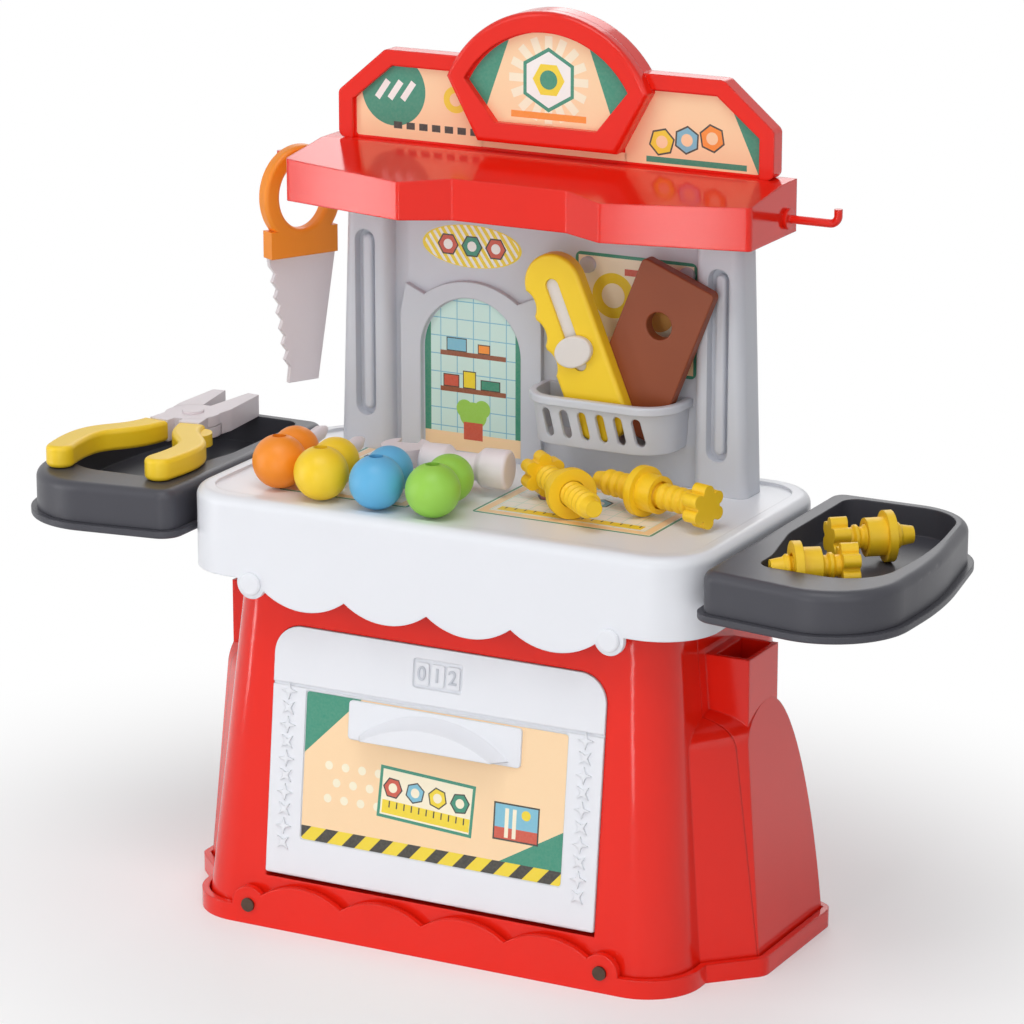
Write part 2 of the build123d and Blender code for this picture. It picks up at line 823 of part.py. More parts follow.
with BuildPart() as back_panel:
    for level, outer in (
        (table_level - table_panel_depth, post_outer_foot),
        (canopy_ceiling, post_outer_top),
    ):
        with BuildSketch(Plane.XY.offset(level)):
            with Locations(((post_inner + outer) / 2, (post_front + post_back) / 2)):
                RectangleRounded(outer - post_inner, post_back - post_front, post_corner)
    loft()
    slot_x = (post_inner + (post_outer_foot + post_outer_top) / 2) / 2
    with BuildSketch(Plane.XZ.offset(-post_front)):
        with Locations((slot_x, post_slot_level)):
            SlotOverall(post_slot_length, post_slot_width, rotation=90)
    extrude(amount=-post_slot_depth, mode=Mode.SUBTRACT)
    with BuildSketch(Plane.XZ.offset(-post_front - post_slot_depth)):
        with Locations((slot_x, post_slot_level)):
            SlotOverall(post_slot_length - post_bead_width, post_bead_width, rotation=90)
    extrude(amount=post_bead_height)
    fillet(back_panel.faces().filter_by(Axis.Y).group_by(Axis.Y)[1].edges(), post_bead_width / 3)
    mirror(about=Plane.YZ)
    foot = table_level - table_panel_depth
    with BuildSketch(Plane.XZ.offset(-panel_front)):
        with Locations((0, (foot + canopy_ceiling) / 2)):
            Rectangle(2 * post_inner + 2 * post_corner, canopy_ceiling - foot)
    extrude(amount=-panel_thickness)
    # Raised doorway with a shoulder on each side
    outer_half = arch_half_width + arch_band
    with BuildSketch(Plane.XZ.offset(-panel_front)):
        with BuildLine():
            left = arch_center - outer_half
            right = arch_center + outer_half
            Polyline(
                (left + arch_ear_width, arch_shoulder),
                (left, arch_ear_top),
                (left - arch_relief, arch_shoulder - arch_ear_width),
                (left - arch_relief, foot),
                (right + arch_relief, foot),
                (right + arch_relief, arch_shoulder - arch_ear_width),
                (right, arch_ear_top),
                (right - arch_ear_width, arch_shoulder),
            )
            ThreePointArc(
                (right - arch_ear_width, arch_shoulder),
                (arch_center, arch_crown),
                (left + arch_ear_width, arch_shoulder),
            )
        make_face()
        with BuildLine():
            Polyline(
                (arch_center - arch_half_width, arch_spring),
                (arch_center - arch_half_width, foot),
                (arch_center + arch_half_width, foot),
                (arch_center + arch_half_width, arch_spring),
            )
            ThreePointArc(
                (arch_center + arch_half_width, arch_spring),
                (arch_center, arch_crown - arch_band),
                (arch_center - arch_half_width, arch_spring),
            )
        make_face(mode=Mode.SUBTRACT)
    extrude(amount=arch_relief)
    with BuildSketch(Plane.XZ.offset(-panel_front)):
        with Locations((poster_center, peg_boss_level)):
            with GridLocations(2 * peg_boss_spread, 1, 2, 1):
                Circle(peg_boss_radius)
    extrude(amount=peg_boss_height)
back_panel.part.label = "back_panel"
export_step(back_panel.part, "parts/back_panel.step")


def basket_section(level, inset, draft):
    half = basket_half_width - inset - draft
    front = panel_front - basket_depth + inset + draft
    back = panel_front - inset
    with BuildSketch(Plane.XY.offset(level)) as section:
        with Locations((basket_center, (front + back) / 2)):
            Rectangle(2 * half, back - front)
        fillet(section.vertices().group_by(Axis.Y)[0], basket_corner - inset)
    return section.sketch


with BuildPart() as tool_basket:
    loft([basket_section(basket_bottom, 0, basket_draft), basket_section(basket_top, 0, 0)])
    with BuildSketch(Plane.XY.offset(basket_top - basket_rim_height)) as rim:
        with Locations((basket_center, panel_front - (basket_depth + basket_rim) / 2)):
            Rectangle(2 * (basket_half_width + basket_rim), basket_depth + basket_rim)
        fillet(rim.vertices().group_by(Axis.Y)[0], basket_corner + basket_rim)
    extrude(amount=basket_rim_height)
    rim_top = tool_basket.faces().sort_by(Axis.Z)[-1].edges().sort_by(Axis.Y)[:-1]
    fillet(rim_top, basket_rim_height / 4)
    loft(
        [
            basket_section(basket_bottom + basket_wall, basket_wall, basket_draft),
            basket_section(basket_top, basket_wall, 0),
        ],
        mode=Mode.SUBTRACT,
    )
    slot_level = (basket_bottom + basket_wall + basket_top - basket_rim_height) / 2
    with BuildSketch(Plane.XZ.offset(-panel_front + basket_corner)):
        with Locations((basket_center, slot_level)):
            with GridLocations(basket_slot_pitch, 1, basket_slot_count, 1):
                SlotOverall(basket_slot_length, basket_slot_width, rotation=90 + basket_slot_tilt)
    extrude(amount=basket_depth, mode=Mode.SUBTRACT)
tool_basket.part.label = "tool_basket"
export_step(tool_basket.part, "parts/tool_basket.step")


def canopy_outline(inset, level):
    with BuildSketch(Plane.XY.offset(level)) as outline:
        with BuildLine():
            Polyline(
                (0, canopy_back),
                (canopy_half_width, canopy_back),
                (canopy_half_width, canopy_end_y),
                (canopy_peak_x, canopy_peak_y),
                (canopy_bay_x, canopy_bay_y),
                (0, canopy_bay_y),
                close=True,
            )
        make_face()
        mirror(about=Plane.YZ)
        if inset:
            offset(amount=-inset)
    return outline.sketch


with BuildPart() as canopy:
    extrude(canopy_outline(0, canopy_bottom), amount=canopy_roof - canopy_bottom)
    with BuildSketch(Plane.YZ):
        with BuildLine():
            Polyline(
                (canopy_peak_y, canopy_bottom),
                (canopy_peak_y, canopy_bottom + canopy_face),
                (canopy_roof_rear, canopy_roof),
                (canopy_back, canopy_roof),
                (canopy_back, canopy_bottom),
                close=True,
            )
        make_face()
    extrude(amount=canopy_half_width, both=True, mode=Mode.INTERSECT)
    fillet(canopy.edges().filter_by(Axis.Z).group_by(Axis.Y)[0:3], canopy_wall)
    extrude(
        canopy_outline(canopy_wall, canopy_bottom),
        amount=canopy_ceiling - canopy_bottom,
        mode=Mode.SUBTRACT,
    )
    with BuildSketch(Plane.YZ):
        with Locations((hook_y, hook_level)):
            Circle(hook_radius + press_gap)
    extrude(amount=canopy_half_width, both=True, mode=Mode.SUBTRACT)
canopy.part.label = "canopy"
export_step(canopy.part, "parts/canopy.step")


def medal_outline(inset, plane):
    foot = medal_half_foot - inset
    waist = medal_half_width - inset
    with BuildSketch(plane) as outline:
        with BuildLine():
            Polyline(
                (-waist, medal_waist_level),
                (-foot, medal_foot_level + inset),
                (foot, medal_foot_level + inset),
                (waist, medal_waist_level),
            )
            ThreePointArc((waist, medal_waist_level), (0, medal_top - inset), (-waist, medal_waist_level))
        make_face()
    return outline.sketch


def sign_outline(inset, plane):
    half = sign_half_width - inset
    shoulder = sign_shoulder_level - inset
    with BuildSketch(plane) as outline:
        with BuildLine():
            Polyline(
                (-half, canopy_roof),
                (half, canopy_roof),
                (half, sign_corner_level - inset / 2),
                (sign_shoulder_x - inset / 2, shoulder),
                (-sign_shoulder_x + inset / 2, shoulder),
                (-half, sign_corner_level - inset / 2),
                close=True,
            )
        make_face()
    return outline.sketch


sign_plane = Plane.XZ.offset(-sign_front)

with BuildPart() as sign_board:
    extrude(sign_outline(0, sign_plane), amount=-sign_thickness)
    fillet(sign_board.edges().filter_by(Axis.Y), sign_band / 2)
    extrude(sign_outline(sign_band, sign_plane), amount=-sign_relief, mode=Mode.SUBTRACT)
    extrude(medal_outline(0, sign_plane), amount=-sign_thickness)
sign_board.part.label = "sign_board"
export_step(sign_board.part, "parts/sign_board.step")

medal_plane = Plane.XZ.offset(-sign_front + medal_relief)

with BuildPart() as sign_medallion:
    extrude(medal_outline(0, medal_plane), amount=-medal_relief)
    fillet(sign_medallion.faces().sort_by(Axis.Y)[0].edges(), medal_edge)
    extrude(medal_outline(medal_band, medal_plane), amount=-medal_relief + medal_back, mode=Mode.SUBTRACT)
sign_medallion.part.label = "sign_medallion"
export_step(sign_medallion.part, "parts/sign_medallion.step")

with BuildPart() as right_hook:
    root = canopy_half_width - canopy_wall
    tip = canopy_half_width + hook_reach
    with BuildLine():
        FilletPolyline(
            (root, hook_y, hook_level),
            (tip, hook_y, hook_level),
            (tip, hook_y, hook_level + hook_tip),
            radius=hook_bend,
        )
    with BuildSketch(Plane.YZ.offset(root)):
        with Locations((hook_y, hook_level)):
            Circle(hook_radius)
    sweep()
    with BuildSketch(Plane.YZ.offset(canopy_half_width)):
        with Locations((hook_y, hook_level)):
            Circle(hook_flange_radius)
    extrude(amount=hook_flange)
right_hook.part.label = "right_hook"
export_step(right_hook.part, "parts/right_hook.step")

with BuildPart() as left_hook:
    mirror(right_hook.part, about=Plane.YZ)
left_hook.part.label = "left_hook"
export_step(left_hook.part, "parts/left_hook.step")

# Saw, hung by its loop on the left hook and turned towards the front
saw_plane = Plane(
    origin=(saw_x, hook_y, hook_level),
    x_dir=(cos(radians(saw_turn)), sin(radians(saw_turn)), 0),
    z_dir=(sin(radians(saw_turn)), -cos(radians(saw_turn)), 0),
)
saw_loop_top = hook_radius + 2 * gap + saw_grip
saw_loop_center = saw_loop_top - saw_loop_height / 2
saw_heel_level = saw_loop_top - saw_loop_height - saw_collar

with BuildPart() as saw_handle:
    with BuildSketch(saw_plane):
        with Locations((0, saw_loop_center)):
            Ellipse(saw_half_width, saw_loop_height / 2)
        with Locations((0, saw_heel_level + (saw_collar + saw_grip) / 2)):
            Rectangle(saw_blade_top, saw_collar + saw_grip)
        with Locations((0, saw_loop_center)):
            Ellipse(saw_half_width - saw_grip, saw_loop_height / 2 - saw_grip, mode=Mode.SUBTRACT)
    extrude(amount=saw_thickness / 2, both=True)
    fillet(saw_handle.edges().filter_by(GeomType.ELLIPSE), saw_edge)
    with BuildSketch(saw_plane):
        with Locations((0, saw_heel_level + saw_tang / 2)):
            Rectangle(saw_heel + 2 * press_gap, saw_tang + 2 * press_gap)
    extrude(amount=saw_blade_thickness / 2 + press_gap, both=True, mode=Mode.SUBTRACT)
saw_handle.part.label = "saw_handle"
export_step(saw_handle.part, "parts/saw_handle.step")

with BuildPart() as saw_blade:
    tooth = saw_blade_length / (saw_tooth_count + 1)
    slope = (saw_blade_top - saw_blade_tip) / 2 / saw_blade_length
    teeth = []
    for i in range(saw_tooth_count):
        drop = (i + 0.5) * tooth
        root_u = -saw_blade_top / 2 + slope * drop
        teeth.append((root_u, saw_heel_level - drop))
        teeth.append((root_u + saw_tooth_depth, saw_heel_level - drop - tooth / 2))
    with BuildSketch(saw_plane):
        with BuildLine():
            Polyline(
                (saw_blade_top / 2, saw_heel_level),
                (-saw_blade_top / 2, saw_heel_level),
                *teeth,
                (-saw_blade_tip / 2, saw_heel_level - saw_blade_length),
                (saw_blade_tip / 2, saw_heel_level - saw_blade_length),
                close=True,
            )
        make_face()
        with Locations((0, saw_heel_level + saw_tang / 2)):
            Rectangle(saw_heel, saw_tang)
    extrude(amount=saw_blade_thickness / 2, both=True)
saw_blade.part.label = "saw_blade"
export_step(saw_blade.part, "parts/saw_blade.step")

# Knife and plank, which stand in the basket
basket_floor = basket_bottom + basket_wall + gap
plank_y = post_front - gap - plank_thickness / 2
knife_y = plank_y - gap - (plank_thickness + knife_thickness) / 2
knife_run = radians(knife_lean)
knife_plane = Plane(
    origin=(knife_foot_x, knife_y, basket_floor + knife_width / 2 * (1 - cos(knife_run))),
    x_dir=(cos(knife_run), 0, sin(knife_run)),
    z_dir=(0, -1, 0),
)
knife_face = knife_plane.offset(knife_thickness / 2)
slot_middle = knife_slot_start + knife_slot_length / 2

with BuildPart() as knife_body:
    with BuildSketch(knife_plane):
        with Locations((0, knife_length / 2)):
            SlotOverall(knife_length, knife_width, rotation=90)
        groove_x = -knife_width / 2 - knife_groove_radius + knife_groove_depth
        with Locations((groove_x, slot_middle)):
            with GridLocations(1, knife_groove_pitch, 1, 3):
                Circle(knife_groove_radius, mode=Mode.SUBTRACT)
    extrude(amount=knife_thickness / 2, both=True)
    fillet(knife_body.faces().sort_by(Axis.Y)[0].edges(), knife_edge)
    with BuildSketch(knife_face):
        with Locations((0, slot_middle)):
            SlotOverall(knife_slot_length, knife_slot_width, rotation=90)
    extrude(amount=-knife_slot_depth, mode=Mode.SUBTRACT)
knife_body.part.label = "knife_body"
export_step(knife_body.part, "parts/knife_body.step")

with BuildPart() as knife_rail:
    with BuildSketch(knife_face.offset(-knife_slot_depth)):
        with Locations((0, slot_middle)):
            SlotOverall(knife_slot_length - 2 * press_gap, knife_slot_width - 2 * press_gap, rotation=90)
    extrude(amount=knife_rail_height)
knife_rail.part.label = "knife_rail"
export_step(knife_rail.part, "parts/knife_rail.step")

with BuildPart() as knife_slider:
    with BuildSketch(knife_face.offset(gap)):
        with Locations((0, slider_start)):
            Ellipse(slider_length / 2, slider_width / 2)
    extrude(amount=slider_height)
    fillet(knife_slider.faces().sort_by(Axis.Y)[0].edges(), slider_height / 3)
    with BuildSketch(knife_face.offset(gap)):
        with Locations((0, slider_start)):
            Rectangle(slider_stem, slider_stem)
    extrude(amount=-knife_slot_depth + knife_rail_height)
knife_slider.part.label = "knife_slider"
export_step(knife_slider.part, "parts/knife_slider.step")

plank_run = radians(plank_lean)
plank_plane = Plane(
    origin=(plank_foot_x, plank_y, basket_floor + plank_width / 2 * sin(plank_run)),
    x_dir=(cos(plank_run), 0, -sin(plank_run)),
    z_dir=(0, -1, 0),
)

with BuildPart() as plank:
    with BuildSketch(plank_plane):
        with Locations((0, plank_length / 2)):
            RectangleRounded(plank_width, plank_length, plank_corner)
        with Locations((0, plank_length - plank_hole_drop)):
            Circle(plank_hole_radius, mode=Mode.SUBTRACT)
    extrude(amount=plank_thickness / 2, both=True)
    fillet(plank.faces().filter_by(Axis.Y).edges(), plank_edge)
plank.part.label = "plank"
export_step(plank.part, "parts/plank.step")

# Pliers: two crossing halves, lapped at half their thickness on a rivet
pliers_x = -tray_middle - pliers_shift
pliers_level = tray_level + gap + pliers_thickness / 2


def pliers_plane(turn):
    run = radians(pliers_heading + turn)
    return Plane((pliers_x, pliers_y, pliers_level), x_dir=(cos(run), sin(run), 0), z_dir=(0, 0, 1))


for name, side in (("upper", 1), ("lower", -1)):
    half_plane = pliers_plane(-side * pliers_open)
    grip_start = (-pliers_neck, side * (gap + pliers_grip_width / 2))
    grip_end = (-pliers_grip_reach, side * pliers_grip_end)
    grip_middle = (-(pliers_neck + pliers_grip_reach) / 2, side * pliers_grip_bow)
    guard_center = (-pliers_neck - pliers_guard, side * (gap + pliers_grip_width - pliers_guard / 4))
    with BuildPart() as pliers_grip:
        with BuildSketch(half_plane):
            with BuildLine():
                Spline(grip_start, grip_middle, grip_end, tangents=((-1, 0), (-1, -side * pliers_grip_tuck)))
            trace(line_width=pliers_grip_width)
            with Locations(grip_end):
                Circle(pliers_grip_width / 2)
        extrude(amount=pliers_thickness / 2, both=True)
        fillet(pliers_grip.faces().filter_by(Axis.Z).edges(), pliers_edge)
        with BuildSketch(half_plane):
            with Locations(guard_center):
                Circle(pliers_guard)
        extrude(amount=pliers_thickness / 2 - pliers_edge, both=True)
    pliers_grip.part.label = f"pliers_{name}_grip"
    export_step(pliers_grip.part, f"parts/pliers_{name}_grip.step")
    with BuildSketch(half_plane, mode=Mode.PRIVATE) as arm:
        with BuildLine():
            Polyline(
                (0, -side * gap),
                (pliers_jaw_reach, -side * gap),
                (pliers_jaw_reach, -side * pliers_jaw_tip),
                (pliers_lap_radius, -side * pliers_jaw_root),
                (0, -side * pliers_jaw_root),
                close=True,
            )
        make_face()
        with Locations((-pliers_neck / 2, side * (gap + pliers_neck_width / 2))):
            Rectangle(pliers_neck, pliers_neck_width)
    with BuildSketch(half_plane, mode=Mode.PRIVATE) as arm_ends:
        add(arm.sketch_local)
        Circle(pliers_lap_radius + gap, mode=Mode.SUBTRACT)
    with BuildPart() as pliers_jaw:
        extrude(arm_ends.sketch, amount=pliers_thickness / 2, both=True)
        with BuildSketch(half_plane.offset(side * gap / 2)):
            add(arm.sketch_local)
            Circle(pliers_lap_radius)
        extrude(amount=side * (pliers_thickness - gap) / 2)
        with BuildSketch(half_plane):
            Circle(pliers_rivet_radius + (press_gap if side > 0 else gap))
        extrude(amount=pliers_thickness, both=True, mode=Mode.SUBTRACT)
    pliers_jaw.part.label = f"pliers_{name}_jaw"
    export_step(pliers_jaw.part, f"parts/pliers_{name}_jaw.step")

with BuildPart() as pliers_rivet:
    with BuildSketch(pliers_plane(0).offset(pliers_thickness / 2)):
        Circle(pliers_rivet_radius)
    extrude(amount=-pliers_thickness - gap)
    with BuildSketch(pliers_plane(0).offset(pliers_thickness / 2)):
        Circle(pliers_rivet_cap)
    extrude(amount=pliers_rivet_cap_height)
    with BuildSketch(pliers_plane(0).offset(-pliers_thickness / 2 - gap)):
        Circle(pliers_rivet_cap)
    extrude(amount=-pliers_rivet_cap_height)
pliers_rivet.part.label = "pliers_rivet"
export_step(pliers_rivet.part, "parts/pliers_rivet.step")

# Short tools with two-ball handles, lying on the table
table_rest = table_level - table_panel_depth + gap
tool_axis_level = table_rest + tool_ball
tool_places = (
    ("orange_driver", -95.0, -45.0, 100.0),
    ("yellow_driver", -67.0, -54.0, 102.0),
    ("spanner", -36.0, -56.0, 104.0),
    ("hammer", -6.0, -56.0, 98.0),
)
shaft_seat = tool_ball_pitch + tool_rear_ball - tool_shaft_seat
shaft_base = tool_ball_pitch + sqrt(tool_rear_ball**2 - tool_shaft_radius**2)

for name, x, y, heading in tool_places:
    tool_plane = lying(x, y, tool_axis_level, heading)
    tool_axis = Axis(tool_plane.origin, tool_plane.x_dir)
    with BuildPart() as tool_handle:
        with BuildSketch(tool_plane) as outline:
            Circle(tool_ball)
            with Locations((tool_ball_pitch, 0)):
                Circle(tool_rear_ball)
            fillet(outline.vertices().sort_by(Axis.X)[:2], tool_neck_round)
            with Locations((0, -2 * tool_ball)):
                Rectangle(8 * tool_ball, 4 * tool_ball, mode=Mode.SUBTRACT)
            with Locations((shaft_seat, 0)):
                Rectangle(
                    2 * tool_rear_ball,
                    2 * (tool_shaft_radius + press_gap),
                    align=(Align.MIN, Align.CENTER),
                    mode=Mode.SUBTRACT,
                )
        revolve(axis=tool_axis)
        with BuildSketch(Plane((x, y, tool_axis_level + tool_ball))):
            Circle(tool_socket_radius)
        extrude(amount=-tool_socket_depth, mode=Mode.SUBTRACT)
    tool_handle.part.label = f"{name}_handle"
    export_step(tool_handle.part, f"parts/{name}_handle.step")


def shaft_profile(plane, length, tip_length, tip_radius):
    end = shaft_base + length
    with BuildSketch(plane) as profile:
        with BuildLine():
            Polyline(
                (shaft_seat, 0),
                (shaft_seat, tool_shaft_radius),
                (end - tip_length, tool_shaft_radius),
                (end, tip_radius),
                (end, 0),
                close=True,
            )
        make_face()
    return profile.sketch


for name, x, y, heading in tool_places[:2]:
    tool_plane = lying(x, y, tool_axis_level, heading)
    with BuildPart() as driver_shaft:
        revolve(
            shaft_profile(tool_plane, driver_shaft_length, driver_tip_length, driver_tip_radius),
            axis=Axis(tool_plane.origin, tool_plane.x_dir),
        )
    driver_shaft.part.label = f"{name}_shaft"
    export_step(driver_shaft.part, f"parts/{name}_shaft.step")

name, x, y, heading = tool_places[2]
spanner_plane = lying(x, y, tool_axis_level, heading)
spanner_flat = Plane(spanner_plane.origin, x_dir=spanner_plane.x_dir, z_dir=(0, 0, 1))
spanner_center = shaft_base + spanner_shaft_length + spanner_head_radius / 2

with BuildPart() as spanner_head:
    revolve(
        shaft_profile(spanner_plane, spanner_shaft_length, 0.5, tool_shaft_radius),
        axis=Axis(spanner_plane.origin, spanner_plane.x_dir),
    )
    with BuildSketch(spanner_flat):
        with Locations((spanner_center, 0)):
            Circle(spanner_head_radius)
        with Locations((spanner_center + spanner_head_radius / 4, 0)):
            Rectangle(
                2 * spanner_head_radius,
                spanner_mouth_width,
                align=(Align.MIN, Align.CENTER),
                mode=Mode.SUBTRACT,
            )
    extrude(amount=spanner_head_thickness / 2, both=True)
spanner_head.part.label = "spanner_head"
export_step(spanner_head.part, "parts/spanner_head.step")

name, x, y, heading = tool_places[3]
hammer_plane = lying(x, y, tool_axis_level, heading)
hammer_reach = shaft_base + hammer_shaft_length
hammer_center = hammer_plane.from_local_coords((hammer_reach, 0, 0))
hammer_head_plane = lying(hammer_center.X, hammer_center.Y, hammer_center.Z, heading + 90)

with BuildPart() as hammer_head:
    revolve(
        shaft_profile(hammer_plane, hammer_shaft_length, 0.5, tool_shaft_radius),
        axis=Axis(hammer_plane.origin, hammer_plane.x_dir),
    )
    face_start = hammer_half_length - hammer_face_length
    with BuildSketch(hammer_head_plane) as head_profile:
        with BuildLine():
            FilletPolyline(
                (-hammer_half_length, 0),
                (-hammer_half_length, hammer_face_radius),
                (-face_start, hammer_face_radius),
                (-face_start + hammer_waist_radius / 2, hammer_waist_radius),
                (face_start - hammer_waist_radius / 2, hammer_waist_radius),
                (face_start, hammer_face_radius),
                (hammer_half_length, hammer_face_radius),
                (hammer_half_length, 0),
                radius=[2, 2, 1, 1, 2, 2],
            )
            Line((hammer_half_length, 0), (-hammer_half_length, 0))
        make_face()
    revolve(axis=Axis(hammer_head_plane.origin, hammer_head_plane.x_dir))
hammer_head.part.label = "hammer_head"
export_step(hammer_head.part, "parts/hammer_head.step")

# Bolts with ringed shanks, each with a flanged nut that turns on it
tray_rest = tray_floor + gap
bolt_places = (
    ("long", 1, 27.0, -6.0, table_rest, -41.7, long_bolt_length, nut_seat_long),
    ("long", 2, 111.0, -18.0, table_rest, 163.3, long_bolt_length, nut_seat_long),
    ("short", 1, tray_middle + 6.85, -31.5, tray_rest, 215.5, short_bolt_length, nut_seat_short),
    ("short", 2, tray_middle - 8.15, 9.5, tray_rest, 40.0, short_bolt_length, nut_seat_short),
)

for kind, number, x, y, rest, heading, length, nut_seat in bolt_places:
    bolt_plane = lying(x, y, rest + nut_flange_radius, heading)
    bolt_axis = Axis(bolt_plane.origin, bolt_plane.x_dir)
    rings = []
    for i in range(int((length - bolt_thread_pitch) / bolt_thread_pitch)):
        start = (i + 0.5) * bolt_thread_pitch
        rings.append((start, bolt_core))
        rings.append((start + bolt_thread_pitch / 4, bolt_crest))
        rings.append((start + bolt_thread_pitch / 2, bolt_crest))
        rings.append((start + bolt_thread_pitch * 3 / 4, bolt_core))
    with BuildPart() as bolt:
        with BuildSketch(bolt_plane):
            with BuildLine():
                Polyline((0, 0), (0, bolt_core), *rings, (length, bolt_core * 0.8), (length, 0), close=True)
            make_face()
        revolve(axis=bolt_axis)
        with BuildSketch(Plane(bolt_plane.origin, x_dir=(0, 0, 1), z_dir=bolt_plane.x_dir)):
            Circle(bolt_head_radius - bolt_lobe_radius)
            with PolarLocations(bolt_head_radius - bolt_lobe_radius, bolt_lobe_count):
                Circle(bolt_lobe_radius)
        extrude(amount=-bolt_head_length)
    bolt.part.label = f"{kind}_bolt_{number}"
    export_step(bolt.part, f"parts/{kind}_bolt_{number}.step")
    with BuildPart() as nut:
        with BuildSketch(bolt_plane):
            bore = bolt_crest + gap
            hub_middle = (nut_seat + nut_hub_length / 2, (bore + nut_hub_radius) / 2)
            flange_middle = (
                nut_seat + nut_hub_length + nut_flange_length / 2,
                (bore + nut_flange_radius) / 2,
            )
            with Locations(hub_middle):
                Rectangle(nut_hub_length, nut_hub_radius - bore)
            with Locations(flange_middle):
                Rectangle(nut_flange_length, nut_flange_radius - bore)
        revolve(axis=bolt_axis)
    nut.part.label = f"{kind}_nut_{number}"
    export_step(nut.part, f"parts/{kind}_nut_{number}.step")
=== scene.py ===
import json
import math

import bpy
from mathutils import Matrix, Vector


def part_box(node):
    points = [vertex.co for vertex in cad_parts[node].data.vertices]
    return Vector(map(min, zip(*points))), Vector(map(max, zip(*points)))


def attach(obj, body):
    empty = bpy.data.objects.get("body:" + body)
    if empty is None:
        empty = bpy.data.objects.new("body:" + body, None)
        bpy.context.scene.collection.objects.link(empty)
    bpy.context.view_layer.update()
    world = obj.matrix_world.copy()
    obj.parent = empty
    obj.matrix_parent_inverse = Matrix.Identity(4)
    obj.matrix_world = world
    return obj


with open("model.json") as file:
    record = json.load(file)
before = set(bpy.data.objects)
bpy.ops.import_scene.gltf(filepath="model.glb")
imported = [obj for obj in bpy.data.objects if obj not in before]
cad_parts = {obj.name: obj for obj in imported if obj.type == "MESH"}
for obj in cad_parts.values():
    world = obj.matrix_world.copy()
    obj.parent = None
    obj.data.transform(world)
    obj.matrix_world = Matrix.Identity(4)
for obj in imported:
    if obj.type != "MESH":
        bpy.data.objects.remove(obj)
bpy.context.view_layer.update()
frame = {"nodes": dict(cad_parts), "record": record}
nodes = frame["nodes"]
mm = 0.001
print("frame loaded:", len(nodes), "nodes")


def srgb(red, green, blue):
    linear = []
    for level in (red, green, blue):
        level = level / 255
        linear.append(level / 12.92 if level < 0.04045 else ((level + 0.055) / 1.055) ** 2.4)
    return (*linear, 1.0)


palette = {
    "red": srgb(238, 34, 16),
    "white": srgb(236, 238, 243),
    "grey": srgb(207, 210, 218),
    "charcoal": srgb(68, 68, 75),
    "lilac": srgb(232, 223, 226),
    "sand": srgb(226, 219, 214),
    "orange": srgb(250, 146, 30),
    "yellow": srgb(251, 210, 36),
    "gold": srgb(255, 206, 30),
    "blue": srgb(98, 181, 226),
    "green": srgb(152, 208, 76),
    "brown": srgb(142, 68, 34),
    "screw": srgb(104, 86, 74),
    "peach": srgb(254, 218, 172),
    "teal": srgb(24, 140, 114),
    "mint": srgb(206, 236, 230),
    "cream": srgb(252, 242, 214),
    "sunny": srgb(244, 216, 28),
    "black": srgb(24, 24, 26),
    "sky": srgb(120, 190, 214),
    "amber": srgb(232, 168, 78),
    "brick": srgb(206, 74, 52),
    "paper": srgb(247, 247, 244),
}
plainWhite = (1, 1, 1, 1)


# A socket that takes part in Python expressions
class Wire:
    def __init__(self, graph, socket):
        self.graph = graph
        self.socket = socket

    def math(self, operation, *values):
        return self.graph.node("ShaderNodeMath", {"operation": operation}, *values)

    def __add__(self, other):
        return self.math("ADD", self, other)

    def __radd__(self, other):
        return self.math("ADD", other, self)

    def __sub__(self, other):
        return self.math("SUBTRACT", self, other)

    def __rsub__(self, other):
        return self.math("SUBTRACT", other, self)

    def __mul__(self, other):
        return self.math("MULTIPLY", self, other)

    def __rmul__(self, other):
        return self.math("MULTIPLY", other, self)

    def __mod__(self, other):
        return self.math("FLOORED_MODULO", self, other)

    def __lt__(self, other):
        return self.math("LESS_THAN", self, other)

    def __gt__(self, other):
        return self.math("GREATER_THAN", self, other)

    def __and__(self, other):
        return self.math("MINIMUM", self, other)

    def __or__(self, other):
        return self.math("MAXIMUM", self, other)

    def __abs__(self):
        return self.math("ABSOLUTE", self)


# A node tree: a node's settings come first, because they decide which sockets it has
class Graph:
    def __init__(self, tree):
        self.tree = tree
        tree.nodes.clear()

    def node(self, kind, settings, *values, out=0, **sockets):
        made = self.tree.nodes.new(kind)
        for name, value in settings.items():
            setattr(made, name, value)
        for socket, value in zip([socket for socket in made.inputs if socket.enabled], values):
            self.feed(socket, value)
        for name, value in sockets.items():
            self.feed(made.inputs[name.replace("_", " ")], value)
        shown = [socket for socket in made.outputs if socket.enabled]
        if not shown:
            return None  # an output node ends the tree
        return Wire(self, made.outputs[out] if isinstance(out, str) else shown[out])

    def feed(self, socket, value):
        if isinstance(value, Wire):
            self.tree.links.new(value.socket, socket)
        else:
            socket.default_value = value

    # What the camera, mirrors and clear pieces look at, as against what gives light
    def seen(self):
        rays = ("Is Camera Ray", "Is Glossy Ray", "Is Transmission Ray")
        camera, glossy, clear = (self.node("ShaderNodeLightPath", {}, out=ray) for ray in rays)
        return camera | glossy | clear


